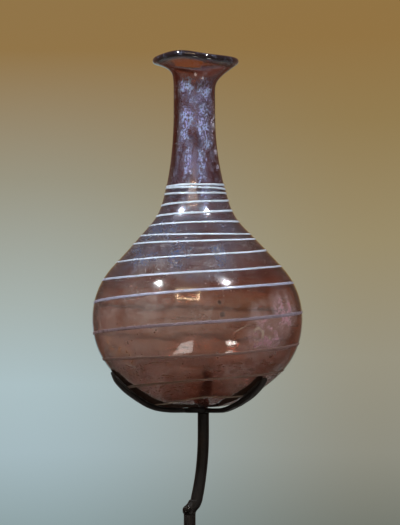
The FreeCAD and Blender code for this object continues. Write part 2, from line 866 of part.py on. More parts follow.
soften(body, "plate_bevel", d("plate_chamfer"), top_edge, "PartDesign::Chamfer", "Size")
before = body.Tip.Shape.Volume
sk = new_sketch(body, "plate_hole_section", "XZ_Plane")
outline(
    sk,
    [
        (ZERO, -Q(0.5)),
        (d("fix_head_r") + 0.1, -Q(0.5)),
        (d("fix_head_r") + 0.1, Q(0.1)),
        (d("fix_hole_r"), d("fix_head_high") + 0.1),
        (d("fix_hole_r"), d("plate_thick") + 0.5),
        (ZERO, d("plate_thick") + 0.5),
    ],
    {},
)
drill = body.newObject("PartDesign::Groove", "plate_hole")
drill.Profile = sk
drill.ReferenceAxis = (sk, ["V_Axis"])
drill.Angle = 360.0
doc.recompute()
if not body.Tip.Shape.Volume < before - 1.0:
    raise RuntimeError("the plate's hole cuts nothing")
place(body, 0, 0, d("felt_thick"))
PIECES.append(body)

body = new_body("fixing_screw")
sk = new_sketch(body, "fixing_screw_section", "XZ_Plane")
shank = d("fix_r") - 0.03
outline(
    sk,
    [
        (ZERO, ZERO),
        (d("fix_head_r"), ZERO),
        (shank, d("fix_head_high")),
        (shank, d("fix_long") - 0.4),
        (shank - 0.4, d("fix_long")),
        (ZERO, d("fix_long")),
    ],
    {},
)
revolve(body, sk, "fixing_screw_turned")
doc.recompute()
sk = new_sketch(body, "fixing_screw_hexagon", "XY_Plane")
hexagon = []
for k in range(6):
    a = Q(60.0 * k)
    hexagon.append((d("fix_socket_r") * cos(a), d("fix_socket_r") * sin(a)))
hexagon[0] = (d("fix_socket_r"), ZERO)
hexagon[3] = (-d("fix_socket_r"), ZERO)
outline(sk, hexagon, {})
pocket(body, sk, "fixing_screw_socket", Q(1.2), back=True)
place(body, 0, 0, d("felt_thick") + 0.05)
PIECES.append(body)

body = new_body("base_felt")
felt_h = d("felt_side") / 2
sk = new_sketch(body, "felt_outline", "XY_Plane")
rectangle(sk, -felt_h, -felt_h, felt_h, felt_h)
pad(body, sk, "felt_cut", d("felt_thick"))
doc.recompute()
soften(body, "felt_corners", d("plate_corner"), upright)
place(body, 0, 0, 0)
PIECES.append(body)

doc.recompute()

# ------------------------------------------------------------ check and write
bad = [o.Name for o in doc.Objects if "Invalid" in o.State or "Error" in o.State]
if bad:
    raise RuntimeError("failed objects: %s" % bad)
for piece in PIECES:
    shape = piece.Shape
    if shape.isNull() or not shape.isValid() or not shape.Solids:
        raise RuntimeError("%s has no valid solid" % piece.Label)
os.makedirs("parts", exist_ok=True)
for piece in PIECES:
    shape = piece.Shape
    shape.exportStep("parts/%s.step" % piece.Label)
    box = shape.BoundBox
    print(
        "%-14s solids %d  volume %9.2f  x %.2f..%.2f  y %.2f..%.2f  z %.2f..%.2f"
        % (
            piece.Label,
            len(shape.Solids),
            shape.Volume,
            box.XMin,
            box.XMax,
            box.YMin,
            box.YMax,
            box.ZMin,
            box.ZMax,
        )
    )
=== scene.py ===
import math

import bmesh
import bpy
from mathutils import Matrix, Vector, noise


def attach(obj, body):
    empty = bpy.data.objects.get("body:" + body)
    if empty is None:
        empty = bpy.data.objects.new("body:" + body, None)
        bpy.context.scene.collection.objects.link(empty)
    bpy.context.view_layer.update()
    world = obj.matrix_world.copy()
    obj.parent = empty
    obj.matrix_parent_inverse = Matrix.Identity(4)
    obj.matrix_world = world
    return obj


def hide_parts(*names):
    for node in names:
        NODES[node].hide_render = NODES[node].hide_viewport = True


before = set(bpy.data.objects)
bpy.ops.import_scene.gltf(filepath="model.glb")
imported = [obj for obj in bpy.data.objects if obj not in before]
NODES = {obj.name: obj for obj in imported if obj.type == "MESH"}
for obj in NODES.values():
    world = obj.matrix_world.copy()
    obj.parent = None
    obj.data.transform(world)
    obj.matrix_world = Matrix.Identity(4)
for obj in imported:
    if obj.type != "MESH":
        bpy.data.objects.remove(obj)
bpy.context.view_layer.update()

MM = 0.001

# ------------------------------------------------------------------ camera
# Level view from the front at the height of the bottle's belly, 1.5 m away.
scene = bpy.context.scene
cam_data = bpy.data.cameras.new("camera")
cam = bpy.data.objects.new("camera", cam_data)
scene.collection.objects.link(cam)
cam_data.sensor_fit = "AUTO"
cam_data.sensor_width = 36.0
cam_data.lens = 233.8
cam_data.clip_start, cam_data.clip_end = 0.05, 50.0
cam.location = (4.54 * MM, -1500 * MM, 125.0 * MM)
aim = Vector((4.54 * MM, 0, 151.7 * MM)) - cam.location
cam.rotation_mode = "QUATERNION"
cam.rotation_quaternion = aim.to_track_quat("-Z", "Y")
scene.camera = cam

# ------------------------------------------------------- shape of the bottle
# Millimetres, in the bottle's own frame: z = 0 under its base, bearing 0 to the
# right, 90 to the back, 180 to the left, 270 to the front.
BX, BZ = 3.3, 88.6
BASE_R = 10.0
C1, R1 = (12.3, 38.0), 33.9
BELLY, SLOPE = math.radians(38.3), math.radians(47.2)
R3, R4, NECK = 26.0, 138.5, 9.15
NECK_LOW, NECK_TOP = 128.0, 139.0


def profile_points():
    """The arcs and lines of the outside below the flare, as in the solid."""
    J = (C1[0] + R1 * math.sin(BELLY), C1[1] - R1 * math.cos(BELLY))
    K = (C1[0] + R1 * math.sin(SLOPE), C1[1] + R1 * math.cos(SLOPE))
    bx, bz = J[0] - BASE_R, J[1]
    r2 = (bx * bx + bz * bz) / (2 * (bx * math.sin(BELLY) - bz * math.cos(BELLY)))
    c2 = (J[0] - r2 * math.sin(BELLY), J[1] + r2 * math.cos(BELLY))
    along = (-math.cos(SLOPE), math.sin(SLOPE))
    out = (math.sin(SLOPE), math.cos(SLOPE))
    c4 = (NECK + R4, NECK_LOW)
    w = (K[0] + R3 * out[0] - c4[0], K[1] + R3 * out[1] - c4[1])
    wd = w[0] * along[0] + w[1] * along[1]
    s = math.sqrt(wd * wd - w[0] ** 2 - w[1] ** 2 + (R4 - R3) ** 2) - wd
    P1 = (K[0] + s * along[0], K[1] + s * along[1])
    c3 = (P1[0] + R3 * out[0], P1[1] + R3 * out[1])
    u = ((c3[0] - c4[0]) / (R4 - R3), (c3[1] - c4[1]) / (R4 - R3))
    P2 = (c4[0] + R4 * u[0], c4[1] + R4 * u[1])
    return dict(J=J, K=K, P1=P1, P2=P2, r2=r2, c2=c2, c3=c3, c4=c4, along=along, out=out)


P = profile_points()


def outside(z):
    """Radius of the outside at z, and its outward normal (radial, vertical)."""
    if z <= P["J"][1]:
        r2, c2 = P["r2"], P["c2"]
        dz = z - c2[1]
        r = c2[0] + math.sqrt(max(r2 * r2 - dz * dz, 0))
        return r, ((r - c2[0]) / r2, dz / r2)
    if z <= P["K"][1]:
        dz = z - C1[1]
        r = C1[0] + math.sqrt(R1 * R1 - dz * dz)
        return r, ((r - C1[0]) / R1, dz / R1)
    if z <= P["P1"][1]:
        f = (z - P["K"][1]) / P["along"][1]
        return P["K"][0] + f * P["along"][0], P["out"]
    if z <= P["P2"][1]:
        dz = z - P["c3"][1]
        r = P["c3"][0] - math.sqrt(R3 * R3 - dz * dz)
        return r, ((P["c3"][0] - r) / R3, -dz / R3)
    dz = z - P["c4"][1]
    if dz >= 0:
        return NECK, (1.0, 0.0)
    r = P["c4"][0] - math.sqrt(R4 * R4 - dz * dz)
    return r, ((P["c4"][0] - r) / R4, -dz / R4)


def ease(x, a, b):
    t = min(max((x - a) / (b - a), 0.0), 1.0)
    return t * t * (3 - 2 * t)


def lean(z):
    """The neck stands a little to the left of the body's axis."""
    return -0.6 * ease(z, 66, 82) - 0.65 * ease(z, 82, 122) + 0.6 * ease(z, 142, 152)


def rim_wave(deg):
    """Height of the uneven rim round the mouth."""
    d = (deg - 246 + 180) % 360 - 180
    e = (deg - 70 + 180) % 360 - 180
    f = (deg - 345 + 180) % 360 - 180
    return 1.9 * math.exp(-((d / 33) ** 2)) - 0.5 * math.exp(-((e / 50) ** 2)) - 0.25 * math.exp(-((f / 30) ** 2))


def ripple(x, y, z, size, seed):
    return noise.noise(Vector((x / size + seed, y / size - seed, z / size + 2 * seed)))


def table(x, pairs):
    """Straight lines between (x, y) pairs."""
    for (x0, y0), (x1, y1) in zip(pairs, pairs[1:]):
        if x <= x1:
            return y0 + (y1 - y0) * max(x - x0, 0.0) / (x1 - x0)
    return pairs[-1][1]


SAG = [(4.5, 0.0), (8, 0.35), (10, 0.7), (14, 1.6), (18, 2.25), (22, 2.45), (25, 2.25), (28, 1.7), (31, 1.05), (34, 0.5), (39, 0.0)]


def sag(r, z, deg):
    """The underside hangs lower over the left arm, and a little over the right one."""
    off = abs((deg - 188 + 180) % 360 - 180)
    also = abs((deg - 324 + 180) % 360 - 180)
    share = max(1 - ease(off, 30, 100), 0.45 * (1 - ease(also, 15, 50)))
    return table(r, SAG) * share * (1 - ease(z, 11, 24))


def warp(r, z, deg, inner=False):
    """From the turned shape to the hand-blown one, in row millimetres."""
    a = math.radians(deg)
    c, s = math.cos(a), math.sin(a)
    hold = ease(z, 3, 16)
    z -= sag(r, z, deg)
    r = r * (1 + hold * (0.0035 * math.sin(2 * a + 0.9) + 0.002 * math.sin(3 * a + 2.0)))
    if inner:
        r += hold * (0.28 * ripple(r * c, r * s, z, 19.0, 3.1) + 0.10 * ripple(r * c, r * s, z * 2.5, 9.0, 8.7)) * min(1.0, r / 12)
    else:
        r += hold * (0.16 * ripple(r * c, r * s, z, 26.0, 0.0) + 0.035 * ripple(r * c, r * s, z * 2.2, 8.0, 5.3)) * min(1.0, r / 12)
    z += rim_wave(deg) * ease(z, 142.5, 151.0)
    return (BX + lean(z) + r * c, r * s, BZ + z)


def bezier(p0, p1, p2, p3, t):
    u = 1 - t
    return tuple(
        u**3 * a + 3 * u * u * t * b + 3 * u * t * t * c + t**3 * d
        for a, b, c, d in zip(p0, p1, p2, p3)
    )


FLARE_RIGHT = ((NECK, NECK_TOP), (NECK, 143.6), (12.6, 146.0), (18.3, 150.65))
FLARE_LEFT = ((NECK, NECK_TOP), (NECK, 147.4), (10.4, 148.3), (17.85, 150.4))
LIP = 1.6


def flare(t, deg):
    """Outside of the flare: a loose cone on the right, a tight brim on the left."""
    w = 0.5 + 0.5 * math.cos(math.radians(deg - 355))
    a = bezier(*FLARE_LEFT, t)
    b = bezier(*FLARE_RIGHT, t)
    return (a[0] * (1 - w) + b[0] * w, a[1] * (1 - w) + b[1] * w)


def wall(z):
    """Thickness of the blown wall."""
    return 1.3 + 1.3 * ease(z, 43, 84) - 0.6 * ease(z, 138, 148) + 0.30 * (1 - ease(z, 4, 24))


INSIDE = 1.60  # floor of the inside


def section(deg):
    """One closed run of (r, z, inside?) from the base's centre up the outside,
    over the lip and down the inside to the base's centre."""
    pts = []
    for k in range(1, 7):
        pts.append((BASE_R * k / 6, 0.0, 0))
    z = 0.0
    zs = []
    for k in range(1, 16):  # under the belly, closer steps where it is flat
        zs.append(P["J"][1] * (k / 15) ** 1.6)
    t0, t1 = math.radians(38.3), math.pi - SLOPE
    for k in range(1, 49):
        zs.append(C1[1] - R1 * math.cos(t0 + (t1 - t0) * k / 48))
    for k in range(1, 9):
        zs.append(P["K"][1] + (P["P1"][1] - P["K"][1]) * k / 8)
    for k in range(1, 15):
        zs.append(P["P1"][1] + (P["P2"][1] - P["P1"][1]) * k / 14)
    for k in range(1, 27):
        zs.append(P["P2"][1] + (NECK_LOW - P["P2"][1]) * k / 26)
    for k in range(1, 8):
        zs.append(NECK_LOW + (NECK_TOP - NECK_LOW) * k / 7)
    for z in zs:
        r, _ = outside(z)
        pts.append((r, z, 0))
    run = [flare(k / 22, deg) for k in range(1, 23)]
    pts += [(r, z, 0) for r, z in run]
    # lip: a rounded bead that carries on in the direction of the brim
    (ra, za), (rb, zb) = run[-2], run[-1]
    n = math.hypot(rb - ra, zb - za)
    d = ((rb - ra) / n, (zb - za) / n)
    c = (rb - d[1] * LIP, zb + d[0] * LIP)
    a0 = math.atan2(zb - c[1], rb - c[0])
    for k in range(1, 15):
        a = a0 + math.radians(215) * k / 14
        pts.append((c[0] + LIP * math.cos(a), c[1] + LIP * math.sin(a), 0 if k < 8 else 1))
    # inside of the flare, then down the neck, shoulder, belly and base
    inner = []
    full = [(NECK, z) for z in (NECK_TOP - 0.6,)] + run
    for k in range(len(run)):
        (ra, za), (rb, zb) = full[k], full[k + 1]
        n = math.hypot(rb - ra, zb - za)
        t = wall(zb)
        inner.append((rb - t * (zb - za) / n, zb + t * (rb - ra) / n))
    last = pts[-1]
    inner = [p for p in inner if p[0] < last[0] - 0.4]
    while len(inner) > 15:
        inner.pop(len(inner) // 2)
    pts += [(r, z, 1) for r, z in reversed(inner)]
    floor = INSIDE
    for z in reversed(zs):
        r, (nr, nz) = outside(z)
        t = wall(z)
        q = (r - t * nr, z - t * nz)
        if q[1] > floor + 0.35:
            pts.append((q[0], q[1], 1))
    r_end, z_end = pts[-1][0], pts[-1][1]
    for k in range(1, 8):
        f = 1 - k / 8
        pts.append((r_end * f, floor + (z_end - floor) * f**3, 1))
    return pts


LIP_ROW = 6 + 15 + 48 + 8 + 14 + 26 + 7 + 22  # first row of the lip's bead


def new_mesh(name, verts, faces, smooth=True):
    me = bpy.data.meshes.new(name)
    me.from_pydata([tuple(c * MM for c in v) for v in verts], [], faces)
    me.validate()
    me.update()
    if smooth:
        me.polygons.foreach_set("use_smooth", [True] * len(me.polygons))
    ob = bpy.data.objects.new(name, me)
    scene.collection.objects.link(ob)
    return ob


def float_attribute(ob, name, values):
    at = ob.data.attributes.new(name, "FLOAT", "POINT")
    at.data.foreach_set("value", values)


def make_vessel():
    steps = 224
    verts, faces, inside, bead = [], [], [], []
    rows = None
    base = None
    for k in range(steps):
        deg = 360.0 * k / steps
        sec = section(deg)
        if rows is None:
            rows = len(sec)
        assert len(sec) == rows, (len(sec), rows)
        first = LIP_ROW
        for j, (r, z, i) in enumerate(sec):
            verts.append(warp(r, z, deg, bool(i)))
            inside.append(float(i))
            bead.append(ease(j, first - 2.5, first + 0.5) * (1 - ease(j, first + 12.5, first + 16)))
    low = len(verts)
    verts.append((BX, 0.0, BZ))
    inside.append(0.0)
    high = len(verts)
    verts.append((BX, 0.0, BZ + INSIDE))
    inside.append(1.0)
    bead += [0.0, 0.0]
    for k in range(steps):
        a, b = k * rows, ((k + 1) % steps) * rows
        faces.append((low, b, a))
        for j in range(rows - 1):
            faces.append((a + j, b + j, b + j + 1, a + j + 1))
        faces.append((a + rows - 1, b + rows - 1, high))
    ob = new_mesh("bottle_glass", verts, faces)
    float_attribute(ob, "inside", inside)
    float_attribute(ob, "bead", bead)
    return ob


# ------------------------------------------------------------- wound thread
# Height of the thread where it passes the left side, the front and the right
# side, from the lowest turn up.
TURNS = [
    (2.60, 4.40, 6.50),
    (9.20, 11.92, 15.80),
    (20.40, 22.40, 27.50),
    (31.80, 36.56, 41.40),
    (45.40, 50.60, 54.30),
    (55.30, 58.40, 61.60),
    (63.00, 65.80, 68.50),
    (71.00, 72.05, 73.50),
    (74.80, 75.05, 75.70),
    (78.90, 80.45, 81.10),
    (83.20, 84.60, 86.00),
    (88.00, 89.35, 90.40),
    (93.00, 93.30, 93.60),
    (95.75, 95.80, 95.30),
    (96.20, 97.05, 97.15),
]


def thread_knots():
    knots = [(140.0, TURNS[0][0] - 0.7)]
    for n, (left, front, right) in enumerate(TURNS):
        t = 360.0 * n
        knots += [(t + 180, left), (t + 270, front), (t + 360, right)]
        if n + 1 < len(TURNS):
            knots.append((t + 450, (right + TURNS[n + 1][0]) / 2))
    knots.append((360.0 * len(TURNS) + 25, TURNS[-1][2] + 0.02))
    return knots


def monotone(knots, t):
    for i in range(len(knots) - 1):
        if t <= knots[i + 1][0] or i == len(knots) - 2:
            break

    def tangent(k):
        if k <= 0 or k >= len(knots) - 1:
            a, b = (0, 1) if k <= 0 else (len(knots) - 2, len(knots) - 1)
            return (knots[b][1] - knots[a][1]) / (knots[b][0] - knots[a][0])
        s0 = (knots[k][1] - knots[k - 1][1]) / (knots[k][0] - knots[k - 1][0])
        s1 = (knots[k + 1][1] - knots[k][1]) / (knots[k + 1][0] - knots[k][0])
        return 0.0 if s0 * s1 <= 0 else 2 * s0 * s1 / (s0 + s1)

    (t0, z0), (t1, z1) = knots[i], knots[i + 1]
    span = t1 - t0
    f = (t - t0) / span
    m0, m1 = tangent(i) * span, tangent(i + 1) * span
    return (
        (2 * f**3 - 3 * f**2 + 1) * z0
        + (f**3 - 2 * f**2 + f) * m0
        + (-2 * f**3 + 3 * f**2) * z1
        + (f**3 - f**2) * m1
    )


def thread_width(z):
    """Drawn thin on the neck, laid thicker round the belly."""
    return 1.30 + 0.15 * math.exp(-(((z - 42) / 12) ** 2)) - 0.30 * ease(z, 46, 66)


def make_thread():
    knots = thread_knots()
    first, last = knots[0][0], knots[-1][0]
    step = 4.0
    count = int(round((last - first) / step))
    step = (last - first) / count
    around = 12
    verts, faces, along = [], [], []
    for i in range(count + 1):
        t = first + step * i
        z = monotone(knots, t)
        a = math.radians(t)
        wob = ripple(7 * math.cos(a), 7 * math.sin(a), z * 1.3, 2.6, 4.0)
        slow = ripple(20 * math.cos(a), 20 * math.sin(a), z, 9.0, 11.0)
        z += 0.10 * slow + 0.03 * wob
        r, (nr, nz) = outside(z)
        ends = min((t - first) / 22.0, (last - t) / 30.0, 1.0)
        share = max(math.sin(max(ends, 0.0) * math.pi / 2), 0.12)
        width = thread_width(z) * (1 + 0.06 * wob + 0.12 * slow) * share
        proud = (0.11 + 0.04 * width) * (1 + 0.10 * wob) * share
        sunk = 0.30
        for j in range(around):
            v = 2 * math.pi * j / around
            across = 0.5 * width * math.cos(v)
            s = math.sin(v)
            up = proud * s if s > 0 else sunk * s
            verts.append(warp(r + up * nr - across * nz, z + up * nz + across * nr, t % 360))
            along.append(t / 360.0)
    for i in range(count):
        for j in range(around):
            a, b = i * around + j, i * around + (j + 1) % around
            faces.append((a, b, b + around, a + around))
    faces.append(tuple(range(around)))
    faces.append(tuple(reversed(range(count * around, (count + 1) * around))))
    ob = new_mesh("bottle_thread", verts, faces)
    float_attribute(ob, "along", along)
    return ob


# ------------------------------------------------------------- cradle and stand
# Underside of each arm, as (distance from the bottle's axis, height above the
# bottle's base), from its root in the hub to its tip.
ARM_LEFT = [
    (3.0, -2.9), (8.0, -2.9), (11.8, -2.86), (13.6, -2.76), (15.4, -2.58), (17.2, -2.28), (19.0, -1.85),
    (20.8, -1.25), (22.6, -0.48), (24.4, 0.48), (26.2, 1.58), (28.0, 2.75), (29.8, 4.0), (31.6, 5.36),
    (33.4, 6.88), (35.2, 8.7), (37.0, 11.0), (38.6, 14.9),
]
ARM_RIGHT = [
    (3.0, -2.9), (9.0, -2.9), (13.0, -2.82), (14.8, -2.55), (16.4, -2.15), (18.6, -1.42), (20.7, -0.56),
    (22.9, 0.38), (25.1, 1.54), (27.3, 2.72), (29.4, 4.1), (31.6, 5.8), (33.8, 7.9), (35.6, 10.1), (36.9, 12.7),
]
ARM_BACK = ARM_LEFT[:-1] + [(38.8, 15.4)]
ARMS = {"left": (192.0, ARM_LEFT), "right": (324.0, ARM_RIGHT), "back": (82.0, ARM_BACK)}


def arm_line(under, count):
    """Even steps along an arm's underside: (place, direction, run so far, whole run)."""
    r0, r1 = under[0][0], under[-1][0]
    fine = [(r0 + (r1 - r0) * k / 600, monotone(under, r0 + (r1 - r0) * k / 600)) for k in range(601)]
    run = [0.0]
    for a, b in zip(fine, fine[1:]):
        run.append(run[-1] + math.hypot(b[0] - a[0], b[1] - a[1]))
    out, j = [], 0
    for k in range(count + 1):
        want = run[-1] * k / count
        while j < 599 and run[j + 1] < want:
            j += 1
        a, b = fine[j], fine[j + 1]
        long = run[j + 1] - run[j]
        f = (want - run[j]) / long
        out.append(((a[0] + (b[0] - a[0]) * f, a[1] + (b[1] - a[1]) * f), ((b[0] - a[0]) / long, (b[1] - a[1]) / long), want, run[-1]))
    return out


def arm_thick(f):
    return table(f, [(0.0, 2.0), (0.35, 2.05), (0.6, 2.2), (0.8, 1.9), (0.92, 1.45), (1.0, 1.0)])


def oval(half, low, high, power, count=24):
    """Rounded oblong: (across, height) pairs."""
    pts = []
    for k in range(count):
        v = 2 * math.pi * (k + 0.5) / count
        c, s = math.cos(v), math.sin(v)
        pts.append((half * math.copysign(abs(c) ** power, c), (low + high) / 2 + (high - low) / 2 * math.copysign(abs(s) ** power, s)))
    return pts


def loft(name, rings):
    """A closed skin over rings with the same number of points."""
    n = len(rings[0])
    verts = [p for ring in rings for p in ring]
    faces = []
    for i in range(len(rings) - 1):
        for j in range(n):
            a, b = i * n + j, i * n + (j + 1) % n
            faces.append((a, b, b + n, a + n))
    faces.append(tuple(range(n)))
    faces.append(tuple(range((len(rings) - 1) * n, len(rings) * n)))
    ob = new_mesh(name, verts, faces)
    bm = bmesh.new()
    bm.from_mesh(ob.data)
    bmesh.ops.recalc_face_normals(bm, faces=bm.faces)
    bm.to_mesh(ob.data)
    bm.free()
    return ob


def beside(r, across, z, deg):
    """Row place of a point on an arm."""
    c, s = math.cos(math.radians(deg)), math.sin(math.radians(deg))
    return (BX + r * c - across * s, r * s + across * c, BZ + z)


def make_arm(side):
    deg, under = ARMS[side]
    rings = []
    for (r, z), (dr, dz), run, whole in arm_line(under, 72):
        left = whole - run
        half = 2.0
        if left < 1.7:
            half = max(2.0 * math.sqrt(max(1 - (1 - left / 1.7) ** 2, 0)), 0.5)
        t = arm_thick(run / whole) * (0.72 if left < 0.05 else 1.0)
        t *= 1 + 0.03 * ripple(r, z, deg, 5.0, 1.7)
        low = 0.05 * ripple(r, z, deg, 4.0, 6.1) * min(1.0, run / 6.0)
        rings.append([beside(r - h * dz, y, z + h * dr, deg) for y, h in oval(half, low, low + t, 0.36)])
    return loft("cradle_arm_" + side, rings)


def glass_line(deg):
    """Outside of the bottle at one bearing, as (distance from the axis, height)."""
    out = [(10.0 * k / 10, 0.0) for k in range(10)]
    for k in range(241):
        z = 0.001 + 26.0 * (k / 240) ** 1.5
        x, y, zz = warp(outside(z)[0], z, deg)
        out.append((math.hypot(x - BX, y), zz - BZ))
    return out


def make_pad(side, start):
    """Suede between an arm and the glass, pressed to fill the space there."""
    deg, under = ARMS[side]
    glass = glass_line(deg)
    knots = thread_knots()
    turns = [monotone(knots, deg + 360.0 * n) for n in range(4)]
    line = arm_line(under, 150)
    whole = line[0][3]
    end = whole - 1.5
    rings = []
    for (r, z), (dr, dz), run, _ in line:
        if not start <= run <= end:
            continue
        t = arm_thick(run / whole)
        ri, zi = r - t * dz, z + t * dr
        gap = min(math.hypot(a - ri, b - zi) for a, b in glass)
        thick = gap - 0.10
        touch = zi + gap * dr
        for turn in turns:
            off = abs(touch - turn) / 1.3
            if off < 1:
                thick -= 0.20 * (1 - off * off)
        thick = min(max(thick, 0.3), 2.6)
        fade = min(run - start, end - run) / 1.6
        if fade < 1:
            thick = 0.12 + (thick - 0.12) * math.sqrt(max(1 - (1 - fade) ** 2, 0))
        half = 1.72 * (0.82 + 0.18 * min(max(fade, 0), 1)) * (1 + 0.03 * ripple(r, z, deg, 2.5, 2.2))
        thick *= 1 + 0.04 * ripple(r, z, deg, 1.6, 9.0)
        rings.append([beside(ri - h * dz, y, zi + h * dr, deg) for y, h in oval(half, -0.06, thick, 0.62)])
    return loft("cradle_pad_" + side, rings)


def make_hub_pad():
    rings = []
    for r, z in ((3.9, -0.93), (4.12, -0.84), (4.22, -0.62), (4.22, -0.36), (4.10, -0.16), (3.85, -0.06), (3.2, -0.03), (1.6, -0.02)):
        ring = []
        for k in range(64):
            a = 2 * math.pi * k / 64
            rr = r * (1 + 0.012 * ripple(3 * math.cos(a), 3 * math.sin(a), z, 1.1, 2.0))
            ring.append((BX + rr * math.cos(a), rr * math.sin(a), BZ + z))
        rings.append(ring)
    return loft("cradle_hub_pad", rings)


def make_felt():
    """Square of felt with soft, slightly fuzzy cut edges."""
    side, corner = 43.0, 2.5
    outline = []
    for cx, cy, a0 in ((1, 1, 0), (-1, 1, 90), (-1, -1, 180), (1, -1, 270)):
        for k in range(9):
            a = math.radians(a0 + 90 * k / 8)
            outline.append((cx * (side - corner) + corner * math.cos(a), cy * (side - corner) + corner * math.sin(a)))
        nx = {(1, 1): (-1, 1), (-1, 1): (-1, -1), (-1, -1): (1, -1), (1, -1): (1, 1)}[(cx, cy)]
        a = math.radians(a0 + 90)
        p = outline[-1]
        q = (nx[0] * (side - corner) + corner * math.cos(a), nx[1] * (side - corner) + corner * math.sin(a))
        for k in range(1, 48):
            outline.append((p[0] + (q[0] - p[0]) * k / 48, p[1] + (q[1] - p[1]) * k / 48))
    rings = []
    for inset, z in ((1.2, 0.02), (0.35, 0.05), (0.12, 0.2), (0.0, 0.45), (0.06, 0.75), (0.3, 0.95), (1.2, 0.99)):
        ring = []
        for x, y in outline:
            f = 1 - (inset + 0.10 + 0.10 * ripple(x, y, z * 6, 1.3, 3.0)) / side
            ring.append((x * f, y * f, z))
        rings.append(ring)
    return loft("stand_felt", rings)


def make_stem():
    """Round bar under the hub, bowed to the left at its lower end."""
    bow = (4.35**2 + 34.25**2) / (2 * 4.35)
    rings = []
    for k in range(61):
        z = 85.72 - (85.72 - 45.6) * k / 60
        drop = max(76.0 - z, 0.0)
        x = 6.0 - (bow - math.sqrt(bow * bow - drop * drop))
        lean_x = drop / math.sqrt(bow * bow - drop * drop)
        n = math.hypot(1, lean_x)
        r = 2.5 + 0.12 * ease(-z, -60, -47) - 0.25 * ease(-z, -47.5, -45.6)
        ring = []
        for j in range(36):
            v = 2 * math.pi * j / 36
            rr = r * (1 + 0.006 * ripple(math.cos(v) * 2, math.sin(v) * 2, z, 3.0, 4.4))
            ring.append((x + rr * math.cos(v) / n, rr * math.sin(v), z - rr * math.cos(v) * lean_x / n))
        rings.append(ring)
    return loft("cradle_stem", rings)


# Left and right edge of the knuckle that the stem runs into, by height.
KNUCKLE = [
    (47.9, 0.4, 5.2), (47.2, -0.3, 5.36), (46.4, -0.68, 5.24), (45.5, -1.3, 5.02), (44.9, -1.9, 4.78), (44.4, -2.5, 4.52),
    (43.8, -2.98, 4.12), (43.2, -3.12, 3.6), (42.6, -3.12, 3.1), (42.0, -3.06, 2.75), (41.5, -2.86, 2.66), (41.05, -2.62, 2.6),
]


def make_knuckle():
    lows = sorted(KNUCKLE)
    left = [(z, a) for z, a, _ in lows]
    right = [(z, b) for z, _, b in lows]
    rings = []
    for k in range(41):
        z = 41.05 + (47.9 - 41.05) * k / 40
        a, b = monotone(left, z), monotone(right, z)
        half = (b - a) / 2
        deep = min(half, 2.72)
        if z > 47.2:
            half *= 1 - 0.25 * ease(z, 47.2, 47.9)
            deep *= 1 - 0.25 * ease(z, 47.2, 47.9)
        ring = []
        for j in range(40):
            v = 2 * math.pi * j / 40
            f = 1 + 0.02 * ripple(math.cos(v) * 2.5, math.sin(v) * 2.5, z, 1.5, 7.7) * ease(z, 41.4, 42.6)
            ring.append(((a + b) / 2 + half * f * math.cos(v), deep * f * math.sin(v), z))
        rings.append(ring)
    return loft("cradle_socket", rings)


